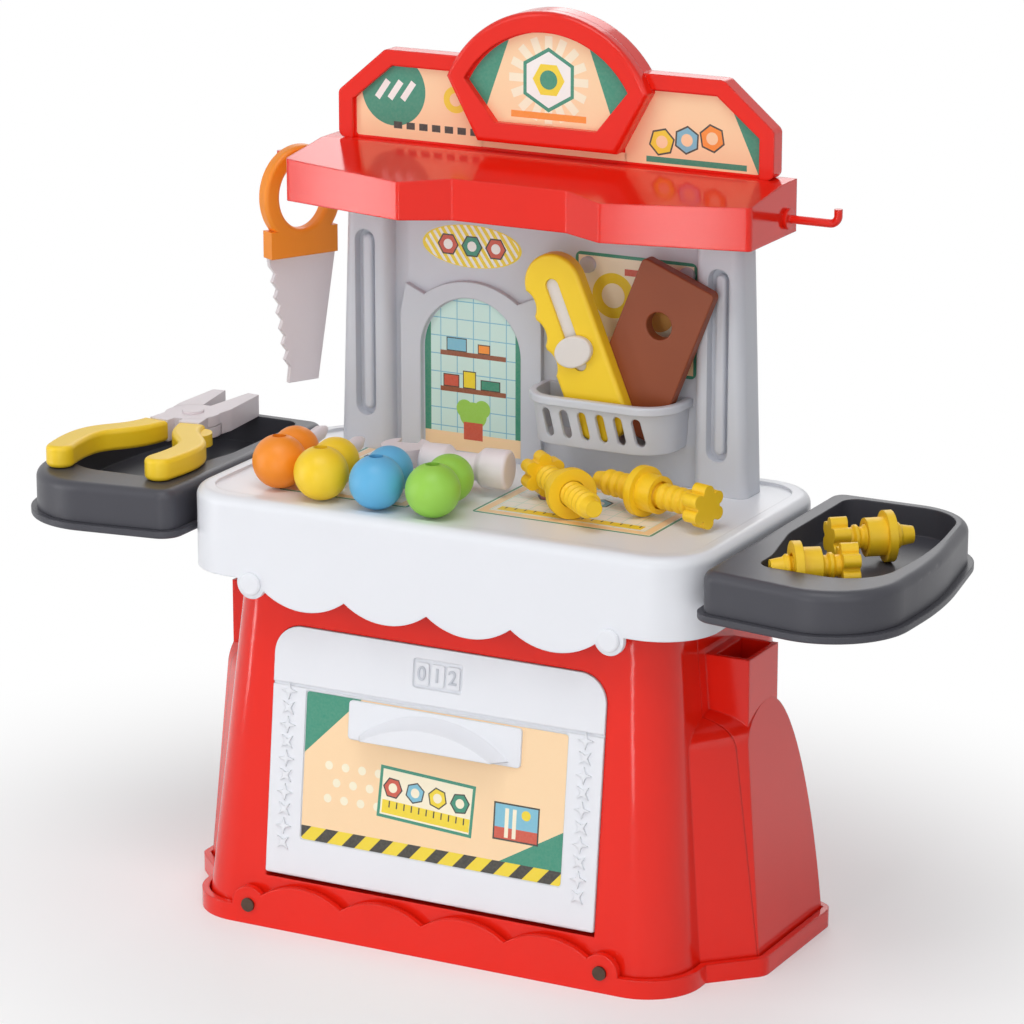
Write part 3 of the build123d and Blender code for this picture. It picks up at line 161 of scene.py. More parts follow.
# One material with its coordinates in metres
class Finish(Graph):
    def __init__(self, name):
        self.material = bpy.data.materials.new(name)
        self.material.use_nodes = True
        super().__init__(self.material.node_tree)
        self.shader = self.node("ShaderNodeBsdfPrincipled", {})
        self.place = self.node("ShaderNodeTexCoord", {}, out="Object")
        self.x, self.y, self.z = (
            self.node("ShaderNodeSeparateXYZ", {}, self.place, out=axis) for axis in "XYZ"
        )

    def set(self, **sockets):
        for name, value in sockets.items():
            self.feed(self.shader.socket.node.inputs[name.replace("_", " ")], value)

    def mix(self, mask, under, over):
        return self.node("ShaderNodeMix", {"data_type": "RGBA"}, mask, under, over)

    def noise(self, scale, detail, roughness=0.5):
        return self.node(
            "ShaderNodeTexNoise", {}, Vector=self.place, Scale=scale, Detail=detail, Roughness=roughness
        )

    # A bevel of the edge's radius lets moulded edges catch the light
    def bump(self, height, strength, depth, edge=0.0):
        sockets = {"Height": height, "Strength": strength, "Distance": depth * mm}
        if edge > 0:
            sockets["Normal"] = self.node("ShaderNodeBevel", {"samples": 4}, Radius=edge * mm)
        self.set(Normal=self.node("ShaderNodeBump", {}, **sockets))

    def done(self, surface=None):
        self.node("ShaderNodeOutputMaterial", {}, surface or self.shader)
        return self.material


# Moulded plastic, by material slot; what a slot doesn't give is as in plainMould. Depths and edges
# are in mm, and a noise is given by its scale, detail and roughness
plainMould = {
    "shine": 0.5, "rub": 0.10, "wave": 0.6, "skin": 0.12, "edge": 0.6, "depth": 0.2, "index": 1.49,
    "cloud": (22, 3), "grain": (1500, 2), "wear": (70, 5, 0.62), "grainRub": 0.05,
    "streak": (60, 60, 7), "streakDetail": 2.0, "streakShare": 0.3, "lift": 0.002,
}
moulds = {
    "red_plastic": {
        "name": "redShell", "colour": "red", "rough": 0.13, "variation": 0.05,
        "shine": 0.36, "rub": 0.03, "wave": 0.1, "skin": 0.03, "edge": 1.2,
    },
    "white_plastic": {
        "name": "whiteShell", "colour": "white", "rough": 0.30, "variation": 0.010,
        "shine": 0.4, "rub": 0.02, "wave": 0.1, "skin": 0.02, "edge": 1.0,
    },
    "grey_plastic": {
        "name": "greyWall", "colour": "grey", "rough": 0.34, "variation": 0.02,
        "shine": 0.4, "rub": 0.04, "wave": 0.1, "skin": 0.03, "edge": 1.0,
    },
    "charcoal_plastic": {
        "name": "charcoalTray", "colour": "charcoal", "rough": 0.40, "variation": 0.08,
        "shine": 0.4, "rub": 0.04, "wave": 0.2, "edge": 1.0,
    },
    "lilac_plastic": {
        "name": "lilacTool", "colour": "lilac", "rough": 0.46, "variation": 0.05, "skin": 0.2,
    },
    "pale_plastic": {"name": "sandTrim", "colour": "sand", "rough": 0.42, "variation": 0.04},
    "orange_plastic": {
        "name": "orangeGrip", "colour": "orange", "rough": 0.42, "variation": 0.06, "skin": 0.2,
    },
    "yellow_plastic": {
        "name": "yellowGrip", "colour": "yellow", "rough": 0.40, "variation": 0.05, "skin": 0.2,
    },
    "gold_plastic": {
        "name": "goldBolt", "colour": "gold", "rough": 0.44, "variation": 0.06, "skin": 0.2,
    },
    "blue_plastic": {
        "name": "blueGrip", "colour": "blue", "rough": 0.42, "variation": 0.05, "skin": 0.2,
    },
    "green_plastic": {
        "name": "greenGrip", "colour": "green", "rough": 0.42, "variation": 0.05, "skin": 0.2,
    },
    "brown_plastic": {
        "name": "brownPlank", "colour": "brown", "rough": 0.46, "variation": 0.14, "skin": 0.3,
    },
}


# Pigment clouds, faint flow streaks, a fine skin and a few rubbed places
def mouldedPlastic(look):
    finish = Finish(look["name"])
    stretched = finish.node("ShaderNodeMapping", {}, Vector=finish.place, Scale=look["streak"])
    streak = finish.node("ShaderNodeTexNoise", {}, Vector=stretched, Scale=1.0, Detail=look["streakDetail"])
    cloud, grain, wear = (finish.noise(*look[name]) for name in ("cloud", "grain", "wear"))
    colour = palette[look["colour"]][:3]
    darker = (*(c * (1 - look["variation"]) for c in colour), 1)
    lighter = (*(min(1, c * (1 + look["variation"]) + look["lift"]) for c in colour), 1)
    pigment = cloud * (1 - look["streakShare"]) + streak * look["streakShare"]
    finish.set(
        Base_Color=finish.mix(pigment, darker, lighter),
        Roughness=look["rough"] + (wear - 0.5) * look["rub"] + (grain - 0.5) * look["grainRub"],
        IOR=look["index"],
        Specular_IOR_Level=look["shine"],
    )
    finish.bump(grain + cloud * look["wave"], look["skin"], look["depth"], look["edge"])
    return finish.done()


screwLook = {
    "colour": "screw", "stain": (260, 4), "turning": (2600, 1), "shade": 0.55,
    "rough": 0.34, "roughStain": 0.25,
    "metal": 0.75, "metalTurning": 0.2, "relief": 0.25, "depth": 0.2,
}


def screwMetal(look):
    finish = Finish("darkScrew")
    stain = finish.noise(*look["stain"])
    turned = finish.noise(*look["turning"])
    colour = palette[look["colour"]]
    dark = (*(c * look["shade"] for c in colour[:3]), 1)
    finish.set(
        Base_Color=finish.mix(stain, dark, colour),
        Roughness=look["rough"] + stain * look["roughStain"],
        Metallic=look["metal"] + turned * look["metalTurning"],
    )
    finish.bump(turned + stain, look["relief"], look["depth"])
    return finish.done()


finishes = {slot: mouldedPlastic({**plainMould, **look}) for slot, look in moulds.items()}
finishes["dull_steel"] = screwMetal(screwLook)
for entry in frame["record"]["subparts"]:
    mesh = nodes[entry["node"]].data
    mesh.materials.clear()
    mesh.materials.append(finishes[entry["material_slot"]])
print("finishes on the frame:", len(finishes))

sticker = {
    "thick": 0.12, "rough": 0.32, "gloss": 0.25,
    "fibre": (900, 3), "fade": 0.10, "relief": 0.06, "depth": 0.1,
}
nutShape = {"rim": 1.16, "bore": 0.5}  # shares of a printed nut's radius
hexReach = math.cos(math.radians(30))  # from a hexagon's middle to its side


# A printed sticker: inks laid over one another, u across and v up in mm from the print's middle
class Print(Finish):
    def __init__(self, name, middle, ground="paper", flat=False):
        super().__init__(name)
        self.u = (self.x - middle[0] * mm) * 1000
        self.v = ((self.y if flat else self.z) - middle[1] * mm) * 1000
        self.ink = palette[ground]

    def lay(self, mask, colour):
        self.ink = self.mix(mask, self.ink, palette[colour])

    # Rows of a shape's name, its numbers and its ink
    def layAll(self, rows):
        for shape, numbers, colour in rows:
            self.lay(getattr(self, shape)(*numbers), colour)

    def turned(self, cu, cv, degrees):
        c, s = math.cos(math.radians(degrees)), math.sin(math.radians(degrees))
        u, v = self.u - cu, self.v - cv
        return u * c + v * s, v * c - u * s

    def box(self, cu, cv, halfWide, halfHigh, degrees=0):
        u, v = self.turned(cu, cv, degrees)
        return (abs(u) < halfWide) & (abs(v) < halfHigh)

    def outside(self, halfWide, halfHigh):
        return 1 - self.box(0, 0, halfWide, halfHigh)

    def below(self, level):
        return self.v < level

    def beyond(self, cu, cv, degrees):
        return self.turned(cu, cv, degrees)[0] > 0

    def disc(self, cu, cv, radius, squash=1.0):
        u, v = self.u - cu, (self.v - cv) * (1 / squash)
        return (u * u + v * v) < radius * radius

    def hexagon(self, cu, cv, radius, degrees=0):
        first, second, third = (
            abs(self.turned(cu, cv, degrees + turn)[0]) < radius * hexReach for turn in (0, 60, 120)
        )
        return first & second & third

    def stripes(self, pitch, line, degrees=0, cu=0, cv=0):
        return (self.turned(cu, cv, degrees)[0] % pitch) < line

    def grid(self, pitch, line):
        return ((self.u % pitch) < line) | ((self.v % pitch) < line)

    # Nuts along a row that may slope and turn as it goes
    def nutRow(self, row):
        for step, colour in row["nuts"]:
            place = (row["u"] + step, row["v"] + step * row["slope"])
            turn = row["turn"] + step * row["turnEach"]
            self.lay(self.hexagon(*place, row["radius"] * nutShape["rim"], turn), "black")
            self.lay(self.hexagon(*place, row["radius"], turn), colour)
            self.lay(self.disc(*place, row["radius"] * nutShape["bore"]), row["hole"])

    def hazard(self, band, pitch, line, degrees):
        self.lay(band, "sunny")
        self.lay(band & self.stripes(pitch, line, degrees), "black")

    def dry(self):
        fibre = self.noise(*sticker["fibre"])
        self.set(
            Base_Color=self.mix(fibre * sticker["fade"], self.ink, palette["cream"]),
            Roughness=sticker["rough"] + fibre * sticker["fade"],
            Coat_Weight=sticker["gloss"],
        )
        self.bump(fibre, sticker["relief"], sticker["depth"])
        return self.done()


smoothAngle = 30
cornerSteps = 6


def deselect():
    if bpy.context.mode != "OBJECT":
        bpy.ops.object.mode_set(mode="OBJECT")
    bpy.ops.object.select_all(action="DESELECT")


def finishPiece(piece, name, material, body):
    deselect()
    piece.select_set(True)
    bpy.context.view_layer.objects.active = piece
    bpy.ops.object.transform_apply(location=True, rotation=True, scale=True)
    bpy.ops.object.shade_smooth_by_angle(angle=math.radians(smoothAngle))
    piece.name = name
    piece.data.name = name
    piece.data.materials.clear()
    piece.data.materials.append(material)
    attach(piece, body)


# A flat outline becomes a thin plate: extruded, turned to face its wall and set down on it
def plateFromOutline(thick, lean, middle):
    piece = bpy.context.active_object
    bpy.ops.object.mode_set(mode="EDIT")
    bpy.ops.mesh.select_all(action="SELECT")
    bpy.ops.mesh.extrude_region_move(TRANSFORM_OT_translate={"value": (0, 0, thick * mm)})
    bpy.ops.mesh.select_all(action="SELECT")
    bpy.ops.mesh.normals_make_consistent(inside=False)
    bpy.ops.object.mode_set(mode="OBJECT")
    piece.rotation_euler = (math.radians(lean), 0, 0)
    piece.location = Vector(middle) * mm
    return piece


def sizeOutline(wide, high):
    piece = bpy.context.active_object
    piece.scale = (wide * mm, high * mm, 1)
    bpy.ops.object.transform_apply(scale=True)
    return piece


def roundedOutline(wide, high, corner):
    deselect()
    bpy.ops.mesh.primitive_plane_add(size=1)
    sizeOutline(wide, high)
    bpy.ops.object.mode_set(mode="EDIT")
    bpy.ops.mesh.select_all(action="SELECT")
    bpy.ops.mesh.bevel(offset=corner * mm, segments=cornerSteps, affect="VERTICES")
    bpy.ops.object.mode_set(mode="OBJECT")


def roundOutline(radiusU, radiusV, points=72):
    deselect()
    bpy.ops.mesh.primitive_circle_add(vertices=points, radius=1, fill_type="NGON")
    return sizeOutline(radiusU, radiusV)


# Leaves the piece in edit mode with only the chosen corners selected
def chooseCorners(piece, chosen):
    bpy.ops.object.mode_set(mode="EDIT")
    bpy.ops.mesh.select_mode(type="VERT")
    bpy.ops.mesh.select_all(action="DESELECT")
    bpy.ops.object.mode_set(mode="OBJECT")
    for corner, wanted in zip(piece.data.vertices, chosen):
        corner.select = wanted
    bpy.ops.object.mode_set(mode="EDIT")


def cutOutline(point, normal):
    bpy.ops.object.mode_set(mode="EDIT")
    bpy.ops.mesh.select_all(action="SELECT")
    bpy.ops.mesh.bisect(
        plane_co=[c * mm for c in point] + [0], plane_no=[*normal, 0], clear_outer=True, use_fill=False
    )
    bpy.ops.object.mode_set(mode="OBJECT")


# The front wall leans, so a place on it is given by its height and how far it stands off
frontWall = {"lean": 6.4, "foot": -77.5}
frontTurn = 90 - frontWall["lean"]
uprightTurn = 90


def onFront(x, z, proud):
    lean = math.radians(frontWall["lean"])
    return (x, frontWall["foot"] + z * math.tan(lean) - proud * math.cos(lean), z + proud * math.sin(lean))


# Door label: green corners, dots, a card with a ruler and nuts, a small picture and a hazard band
doorLabel = {
    "wide": 139.2, "high": 72.2, "z": 81.1, "proud": 0.41, "corner": 1.5,
    "corners": (("beyond", (-46, 30, 135), "teal"), ("beyond", (58, -17, -60), "teal")),
    "dots": {"rows": 3, "columns": 4, "left": -56, "top": 2, "across": 9, "down": 8, "radius": 2.1},
    "card": (
        ("box", (-3, -7, 25.5, 12.5, -3), "teal"),
        ("box", (-3, -7, 24, 11, -3), "cream"),
        ("box", (-3, -14, 23.5, 3.2, -3), "sunny"),
    ),
    "ruler": {"ticks": (4.0, 0.7, -3, -3, -14), "edge": (-2.927, -12.602, 22.5, 1.6, -3)},
    "nutRow": {
        "u": -3, "v": -4.5, "slope": -0.05, "turn": 0, "turnEach": 2, "radius": 4.6, "hole": "cream",
        "nuts": ((-18, "brick"), (-6, "sky"), (6, "sunny"), (18, "teal")),
    },
    "picture": (
        ("box", (45, -10, 12, 9), "black"),
        ("box", (45, -10, 11.2, 8.2), "sky"),
        ("box", (45, -15.5, 11.2, 2.7), "brick"),
        ("disc", (50, -5.6, 2.4), "sunny"),
        ("box", (44, -10.5, 1.0, 7), "cream"),
        ("box", (40, -10.5, 1.0, 7), "cream"),
    ),
    "band": {"high": 7.0, "pitch": 11.1, "line": 5.1, "slant": -42},
}


def labelInk():
    ink = Print("doorLabelPrint", (0, doorLabel["z"]), "peach")
    ink.layAll(doorLabel["corners"])
    dots = doorLabel["dots"]
    for row in range(dots["rows"]):
        for column in range(dots["columns"]):
            u = dots["left"] + (column + row % 2 / 2) * dots["across"]
            ink.lay(ink.disc(u, dots["top"] - row * dots["down"], dots["radius"]), "cream")
    ink.layAll(doorLabel["card"])
    ruler = doorLabel["ruler"]
    ink.lay(ink.stripes(*ruler["ticks"]) & ink.box(*ruler["edge"]), "black")
    ink.nutRow(doorLabel["nutRow"])
    ink.layAll(doorLabel["picture"])
    band = doorLabel["band"]
    ink.hazard(ink.below(band["high"] - doorLabel["high"] / 2), band["pitch"], band["line"], band["slant"])
    return ink.dry()


roundedOutline(doorLabel["wide"], doorLabel["high"], doorLabel["corner"])
label = plateFromOutline(sticker["thick"], frontTurn, onFront(0, doorLabel["z"], doorLabel["proud"]))
finishPiece(label, "door_label", labelInk(), "door")
print("door label placed")

# Doorway sticker on the tool wall: tiles, two shelves with goods and a plant in a pot
wallFace = 46.0
doorway = {
    "x": -39.5, "half": 26.6, "foot": 211.5, "spring": 262.0, "straight": -0.5, "printZ": 250,
    "tiles": (9.0, 0.5), "floor": -29.5, "jamb": 23.2,
    "shelves": (("box", (0, -8, 18, 1.2), "brown"), ("box", (0, 10, 18, 1.2), "brown")),
    "goods": (
        (-12, -3.6, 4.4, 3.2, "brick"),
        (-2, -2.4, 3.6, 4.4, "sunny"),
        (9.5, -4.2, 5.4, 2.6, "teal"),
        (-9, 14.6, 5.6, 3.4, "sky"),
        (6, 13.6, 3.4, 2.4, "orange"),
    ),
    "rim": 0.5,
    "plant": (
        ("disc", (0, -20, 7.4, 0.9), "green"),
        ("disc", (-4.6, -17, 4.6), "green"),
        ("disc", (5, -16.4, 4.4), "green"),
        ("box", (0, -28, 5.2, 4.4), "brick"),
    ),
}


def doorwayInk():
    ink = Print("doorwayPrint", (doorway["x"], doorway["printZ"]), "mint")
    ink.lay(ink.grid(*doorway["tiles"]), "sky")
    ink.lay(ink.below(doorway["floor"]), "peach")
    ink.lay((abs(ink.u) > doorway["jamb"]) & (ink.v > doorway["floor"]), "teal")
    ink.layAll(doorway["shelves"])
    rim = doorway["rim"]
    for cu, cv, halfWide, halfHigh, colour in doorway["goods"]:
        ink.lay(ink.box(cu, cv, halfWide, halfHigh), "black")
        ink.lay(ink.box(cu, cv, halfWide - rim, halfHigh - rim), colour)
    ink.layAll(doorway["plant"])
    return ink.dry()


arch = roundOutline(doorway["half"], doorway["half"])
chooseCorners(arch, [corner.co.y < doorway["straight"] * mm for corner in arch.data.vertices])
bpy.ops.transform.resize(value=(1, 0, 1), center_override=(0, 0, 0))
bpy.ops.transform.translate(value=(0, (doorway["foot"] - doorway["spring"]) * mm, 0))
bpy.ops.object.mode_set(mode="OBJECT")
arch = plateFromOutline(sticker["thick"], uprightTurn, (doorway["x"], wallFace, doorway["spring"]))
finishPiece(arch, "doorway_sticker", doorwayInk(), "bench")

# Oval badge over the doorway
badge = {
    "x": -40, "z": 314, "halfWide": 27, "halfHigh": 10.5,
    "stripes": (3.2, 1.76, 35), "rim": 1.4, "squash": 0.40,
    "nutRow": {
        "u": 0, "v": 0, "slope": 0, "turn": 30, "turnEach": 0, "radius": 5.0, "hole": "paper",
        "nuts": ((-13, "brick"), (0, "teal"), (13, "brick")),
    },
}


def badgeInk():
    ink = Print("badgePrint", (badge["x"], badge["z"]))
    ink.lay(ink.stripes(*badge["stripes"]), "sunny")
    ink.lay(1 - ink.disc(0, 0, badge["halfWide"] - badge["rim"], badge["squash"]), "sunny")
    ink.nutRow(badge["nutRow"])
    return ink.dry()


roundOutline(badge["halfWide"], badge["halfHigh"])
oval = plateFromOutline(sticker["thick"], uprightTurn, (badge["x"], wallFace, badge["z"]))
finishPiece(oval, "oval_badge", badgeInk(), "bench")

# Poster behind the knife and the plank
poster = {
    "x": 48, "z": 290, "wide": 64, "high": 56, "corner": 3, "rim": 1.6,
    "shapes": (
        ("below", (-12,), "peach"),
        ("disc", (-12, 8, 11), "sunny"),
        ("disc", (-12, 8, 6), "cream"),
        ("disc", (12, 1, 8), "amber"),
        ("box", (8, 20, 14, 1.6), "brick"),
    ),
}


def posterInk():
    ink = Print("posterPrint", (poster["x"], poster["z"]), "cream")
    ink.layAll(poster["shapes"])
    ink.lay(ink.outside(poster["wide"] / 2 - poster["rim"], poster["high"] / 2 - poster["rim"]), "teal")
    return ink.dry()


roundedOutline(poster["wide"], poster["high"], poster["corner"])
sheet = plateFromOutline(sticker["thick"], uprightTurn, (poster["x"], wallFace, poster["z"]))
finishPiece(sheet, "wall_poster", posterInk(), "bench")
print("wall stickers placed")

# Sign fields on both sides of the medallion
signField = {
    "inner": 38, "outer": 107.6, "foot": 361.5, "top": 396.6, "corner": 1.5, "recess": 3.0,
    "cut": 9, "cutNormal": (0.66, 0.75), "printX": 73, "printZ": 379,
    "rightCorner": (("beyond", (24, 4, 25), "teal"),),
    "rightNuts": {
        "u": 0, "v": -4, "slope": 0.15, "turn": 0, "turnEach": 1, "radius": 6.0, "hole": "peach",
        "nuts": ((-16, "sunny"), (-3, "sky"), (10, "orange")),
    },
    "rightLine": (("box", (2, -15, 26, 1.4), "teal"),),
    "leftDisc": (
        ("disc", (-14, 6, 17.5), "teal"),
        ("box", (-20, 6, 1.6, 5.4, -35), "paper"),
        ("box", (-13, 6, 1.6, 5.4, -35), "paper"),
        ("box", (-6, 6, 1.6, 5.4, -35), "paper"),
    ),
    "leftDashes": {"dashes": (7.0, 4.6), "row": (8, -11, 24, 1.7)},
    "leftRing": (("disc", (20, 4, 6.5), "sunny"), ("disc", (20, 4, 3.2), "peach")),
}
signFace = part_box("sign_board")[0].y / mm + signField["recess"]


def signInk(side, name):
    ink = Print(name + "SignPrint", (side * signField["printX"], signField["printZ"]), "peach")
    if side > 0:
        ink.layAll(signField["rightCorner"])
        ink.nutRow(signField["rightNuts"])
        ink.layAll(signField["rightLine"])
    else:
        ink.layAll(signField["leftDisc"])
        dashes = signField["leftDashes"]
        ink.lay(ink.stripes(*dashes["dashes"]) & ink.box(*dashes["row"]), "black")
        ink.layAll(signField["leftRing"])
    return ink.dry()


for side, name in ((1, "right"), (-1, "left")):
    wide = signField["outer"] - signField["inner"]
    high = signField["top"] - signField["foot"]
    roundedOutline(wide, high, signField["corner"])
    across, up = signField["cutNormal"]
    cutOutline((side * (wide / 2 - signField["cut"]), high / 2 - signField["cut"]), (side * across, up))
    middle = (side * (signField["inner"] + wide / 2), signFace, signField["foot"] + high / 2)
    field = plateFromOutline(sticker["thick"], uprightTurn, middle)
    finishPiece(field, name + "_sign_field", signInk(side, name), "bench")

# Strip of the same paper under the medallion
signStrip = {"wide": 77, "high": 4.0, "z": 363.6, "corner": 0.3}
roundedOutline(signStrip["wide"], signStrip["high"], signStrip["corner"])
strip = plateFromOutline(sticker["thick"], uprightTurn, (0, signFace, signStrip["z"]))
stripInk = Print("signStripPrint", (0, signStrip["z"]), "peach").dry()
finishPiece(strip, "sign_strip", stripInk, "bench")

# Medallion field: an arch with drawn-in feet, printed with a nut in a sunburst
medal = {
    "radius": 48.0, "middle": 372.6, "foot": 375.8, "halfFoot": 33.5, "sideTilt": 28.8, "points": 96,
    "recess": 2.5, "printZ": 397,
    "sides": (("beyond", (28, 0, 20), "teal"), ("beyond", (-28, 0, 160), "teal")),
    "rays": {"count": 8, "turn": 22.5, "v": 1, "reach": 21, "half": 2.0},
    "nut": (
        ("hexagon", (0, 1, 15.5), "teal"),
        ("hexagon", (0, 1, 13.5), "paper"),
        ("hexagon", (0, 1, 8.5, 30), "sunny"),
        ("disc", (0, 1, 4.6), "teal"),
        ("box", (0, -16.5, 20, 1.6), "orange"),
    ),
}
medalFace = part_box("sign_medallion")[1].y / mm - medal["recess"]


def medalInk():
    ink = Print("medalPrint", (0, medal["printZ"]), "peach")
    ink.layAll(medal["sides"])
    rays = medal["rays"]
    for turn in range(rays["count"]):
        ink.lay(ink.box(0, rays["v"], rays["reach"], rays["half"], turn * rays["turn"]), "cream")
    ink.layAll(medal["nut"])
    return ink.dry()


roundOutline(medal["radius"], medal["radius"], medal["points"])
tilt = math.radians(medal["sideTilt"])
footRise = medal["foot"] - medal["middle"]
cutOutline((0, footRise), (0, -1))
for side in (1, -1):
    cutOutline((side * medal["halfFoot"], footRise), (side * math.cos(tilt), -math.sin(tilt)))
shield = plateFromOutline(sticker["thick"], uprightTurn, (0, medalFace, medal["middle"]))
finishPiece(shield, "medallion_field", medalInk(), "bench")
print("sign stickers placed")

# Table stickers: a bordered sheet of squared paper each, with its own marks
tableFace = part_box("back_panel")[0].z / mm
tableSheet = {"corner": 2, "line": 1.2, "ground": 1.8, "border": 6, "squares": (8, 0.5)}
tableStickers = {
    "right_table_sticker": {
        "x": 51, "y": -7, "wide": 93, "high": 62,
        "ruler": {"up": 11, "inset": 9, "half": 3, "ticks": (5, 0.8), "tickUp": 12.6, "tickHalf": 1.4},
        "nutRow": {
            "u": 0, "v": 8, "slope": 0, "turn": 0, "turnEach": 1, "radius": 6.5, "hole": "paper",
            "nuts": ((-24, "brick"), (0, "sky"), (24, "teal")),
        },
    },
    "left_table_sticker": {
        "x": -60, "y": -3, "wide": 70, "high": 88,
        "band": {"v": 24, "inset": 7, "half": 6, "pitch": 11, "line": 5.5, "slant": 30},
        "ring": (("disc", (0, -8, 15), "sunny"), ("disc", (0, -8, 10), "paper")),
    },
}


def tableInk(name, place):
    ink = Print(name + "Print", (place["x"], place["y"]), flat=True)
    halfWide, halfHigh = place["wide"] / 2, place["high"] / 2
    ground, line, border = tableSheet["ground"], tableSheet["line"], tableSheet["border"]
    ink.lay(ink.box(0, 0, halfWide - ground, halfHigh - ground), "peach")
    ink.lay(ink.outside(halfWide - line, halfHigh - line), "teal")
    inside = ink.box(0, 0, halfWide - border, halfHigh - border)
    ink.lay(inside, "paper")
    ink.lay(inside & ink.grid(*tableSheet["squares"]), "mint")
    if "ruler" in place:
        ruler = place["ruler"]
        reach = halfWide - ruler["inset"]
        ink.lay(ink.box(0, ruler["up"] - halfHigh, reach, ruler["half"]), "sunny")
        edge = ink.box(0, ruler["tickUp"] - halfHigh, reach, ruler["tickHalf"])
        ink.lay(ink.stripes(*ruler["ticks"]) & edge, "black")
        ink.nutRow(place["nutRow"])
    else:
        band = place["band"]
        strip = ink.box(0, band["v"], halfWide - band["inset"], band["half"])
        ink.hazard(strip, band["pitch"], band["line"], band["slant"])
        ink.layAll(place["ring"])
    return ink.dry()


for name, place in tableStickers.items():
    roundedOutline(place["wide"], place["high"], tableSheet["corner"])
    sheet = plateFromOutline(sticker["thick"], 0, (place["x"], place["y"], tableFace))
    finishPiece(sheet, name, tableInk(name, place), "bench")
print("table stickers placed")

# Number window: raised tiles with embossed digits
dial = {
    "z": 134.2, "proud": 0.02, "pitch": 8.2, "tileWide": 7.2, "tileHigh": 11.0, "tileThick": 1.1,
    "tileCorner": 1.2, "tileRound": 0.35, "roundSteps": 2,
    "digit": 9.6, "digitLift": 0.2, "digitDeep": 0.35, "digitRound": 0.1,
}


def numberTile(digit, x):
    roundedOutline(dial["tileWide"], dial["tileHigh"], dial["tileCorner"])
    tile = plateFromOutline(dial["tileThick"], frontTurn, onFront(x, dial["z"], dial["proud"]))
    deselect()
    tile.select_set(True)
    bpy.context.view_layer.objects.active = tile
    rounding = tile.modifiers.new("rounding", "BEVEL")
    rounding.width = dial["tileRound"] * mm
    rounding.segments = dial["roundSteps"]
    bpy.ops.object.modifier_apply(modifier="rounding")
    finishPiece(tile, "number_tile_" + digit, finishes["white_plastic"], "door")


def numberDigit(digit, x):
    deselect()
    bpy.ops.object.text_add()
    text = bpy.context.active_object.data
    text.body = digit
    text.size = dial["digit"] * mm
    text.align_x = "CENTER"
    text.align_y = "CENTER"
    text.extrude = dial["digitDeep"] * mm
    text.bevel_depth = dial["digitRound"] * mm
    bpy.ops.object.convert(target="MESH")
    figure = bpy.context.active_object
    figure.rotation_euler = (math.radians(frontTurn), 0, 0)
    proud = dial["proud"] + dial["tileThick"] + dial["digitLift"]
    figure.location = Vector(onFront(x, dial["z"], proud)) * mm
    finishPiece(figure, "number_" + digit, finishes["grey_plastic"], "door")


for step, digit in ((-1, "0"), (0, "1"), (1, "2")):
    numberTile(digit, step * dial["pitch"])
    numberDigit(digit, step * dial["pitch"])
print("number window filled")

# Raised ornaments down both sides of the door label
trim = {
    "x": 79, "foot": 42, "count": 10, "pitch": 8.2, "proud": 0.95, "size": 4.2, "thick": 0.9,
    "corners": 8, "waist": 0.34,
}


def ornament(x, z, turn):
    deselect()
    bpy.ops.mesh.primitive_circle_add(vertices=trim["corners"], radius=trim["size"] * mm, fill_type="NGON")
    stud = bpy.context.active_object
    chooseCorners(stud, [index % 2 == turn for index in range(trim["corners"])])
    bpy.ops.transform.resize(value=(trim["waist"], trim["waist"], 1), center_override=(0, 0, 0))
    bpy.ops.object.mode_set(mode="OBJECT")
    return plateFromOutline(trim["thick"], frontTurn, onFront(x, z, trim["proud"]))


for side, name in ((1, "right"), (-1, "left")):
    heights = [trim["foot"] + step * trim["pitch"] for step in range(trim["count"])]
    studs = [ornament(side * trim["x"], z, step % 2) for step, z in enumerate(heights)]
    deselect()
    for stud in studs:
        stud.select_set(True)
    bpy.context.view_layer.objects.active = studs[0]
    bpy.ops.object.transform_apply(location=True, rotation=True, scale=True)
    bpy.ops.object.join()
    finishPiece(studs[0], name + "_door_trim", finishes["white_plastic"], "door")
print("door trim placed")

# Camera at the photograph's angle
view = {
    "azimuth": 27.77, "elevation": 15.93, "distance": 2112.7, "target": (-5.1, 21.0, 192.2),
    "lens": 154.7, "sensor": 36, "farthest": 50,
}
azimuth, elevation = math.radians(view["azimuth"]), math.radians(view["elevation"])
level = math.cos(elevation)
back = Vector((math.sin(azimuth) * level, -math.cos(azimuth) * level, math.sin(elevation)))
bpy.ops.object.camera_add()
camera = bpy.context.active_object
camera.location = (Vector(view["target"]) + back * view["distance"]) * mm
camera.rotation_euler = back.to_track_quat("Z", "Y").to_euler()
camera.data.sensor_width = view["sensor"]
camera.data.lens = view["lens"]
camera.data.clip_end = view["farthest"]
bpy.context.scene.camera = camera

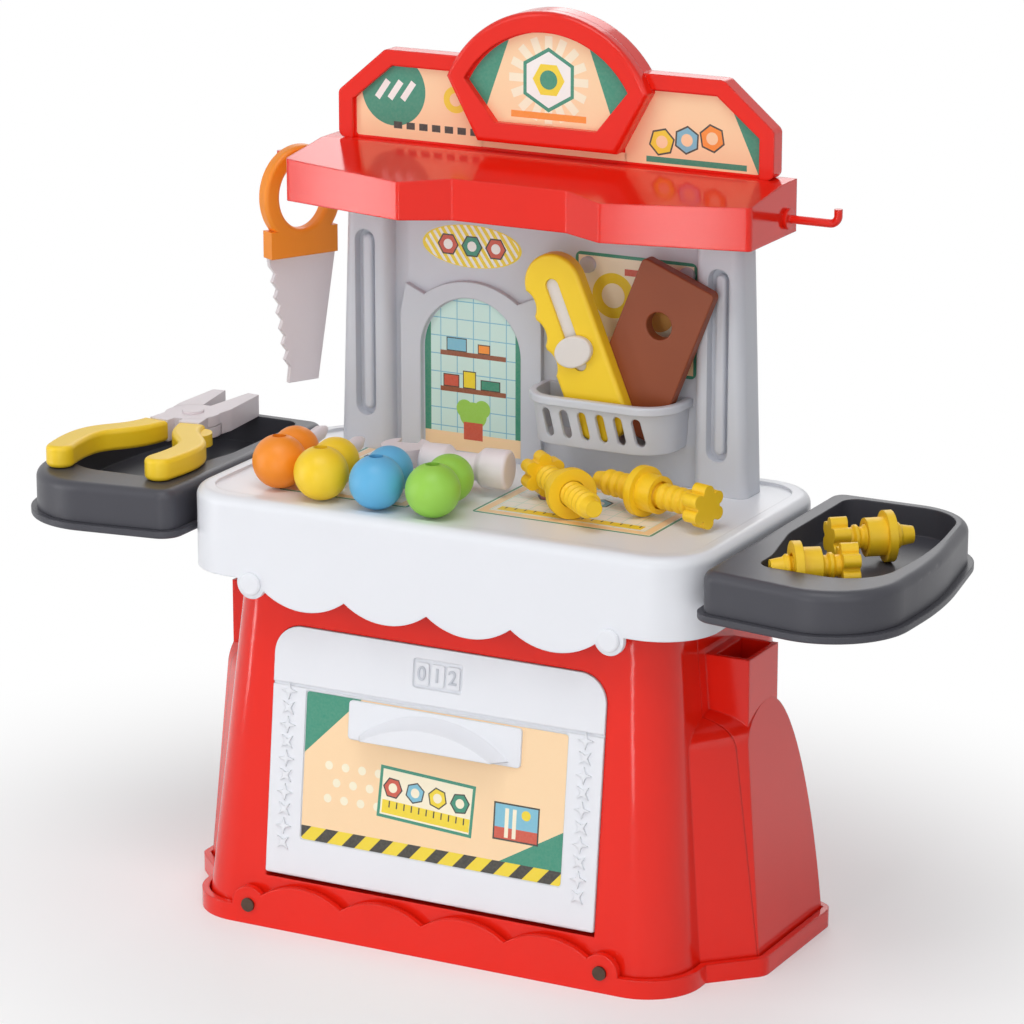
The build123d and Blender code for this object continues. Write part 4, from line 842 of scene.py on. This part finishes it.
# Soft studio lights, in metres and watts; the two strips draw the highlights on the reds
lamps = {
    "keyLamp": {"place": (-1.3, -1.7, 1.1), "wide": 0.6, "high": 1.4, "power": 4.5},
    "fillLamp": {"place": (1.5, -1.5, 1.0), "wide": 1.5, "high": 1.6, "power": 9},
    "topLamp": {"place": (0.2, -0.8, 1.9), "wide": 1.3, "high": 0.9, "power": 12},
    "backLamp": {"place": (-0.6, 1.6, 1.2), "wide": 1.0, "high": 1.0, "power": 6},
    "leftStrip": {"place": (-0.70, -0.45, 0.26), "wide": 0.07, "high": 0.5, "power": 1.0},
    "frontStrip": {"place": (0.07, -0.80, 0.26), "wide": 0.07, "high": 0.5, "power": 0.85},
}
lampAim = Vector((0, 0, 0.2))
for name, lamp in lamps.items():
    bpy.ops.object.light_add(type="AREA", location=lamp["place"])
    light = bpy.context.active_object
    light.name = name
    light.visible_camera = False
    light.data.shape = "RECTANGLE"
    light.data.size = lamp["wide"]
    light.data.size_y = lamp["high"]
    light.data.energy = lamp["power"]
    light.rotation_euler = (Vector(lamp["place"]) - lampAim).to_track_quat("Z", "Y").to_euler()

# White all round for what is seen, a plain dim white for the light it gives
surround = {"light": (0.97, 0.98, 1.0, 1), "strength": 0.26}


def whiteWorld():
    world = bpy.data.worlds.new("studio")
    bpy.context.scene.world = world
    world.use_nodes = True
    graph = Graph(world.node_tree)
    given = graph.node("ShaderNodeBackground", {}, surround["light"], surround["strength"])
    shown = graph.node("ShaderNodeBackground", {}, plainWhite)
    both = graph.node("ShaderNodeMixShader", {}, graph.seen(), given, shown)
    graph.node("ShaderNodeOutputWorld", {}, both)


whiteWorld()

# Pale floor that keeps the shadow near the bench and fades to white further out
floorLook = {
    "size": 30, "colour": (0.9, 0.9, 0.91, 1), "rough": 0.6, "near": 0.15, "far": 0.40, "stretch": 0.8,
    "leastWhite": 0.32,
}


def floorFinish():
    finish = Finish("paleFloor")
    finish.set(Base_Color=floorLook["colour"], Roughness=floorLook["rough"])
    spread = finish.x * finish.x * floorLook["stretch"] + finish.y * finish.y
    away = finish.node(
        "ShaderNodeMapRange", {"interpolation_type": "SMOOTHSTEP"},
        spread.math("SQRT", spread), floorLook["near"], floorLook["far"],
    )
    fade = away * (1 - floorLook["leastWhite"]) + floorLook["leastWhite"]
    white = finish.node("ShaderNodeEmission", {}, plainWhite)
    return finish.done(finish.node("ShaderNodeMixShader", {}, finish.seen() * fade, finish.shader, white))


deselect()
bpy.ops.mesh.primitive_plane_add(size=floorLook["size"])
floor = bpy.context.active_object
floor.name = "floor"
floor.data.materials.append(floorFinish())
bpy.context.scene.view_settings.view_transform = "Standard"
print("studio ready")
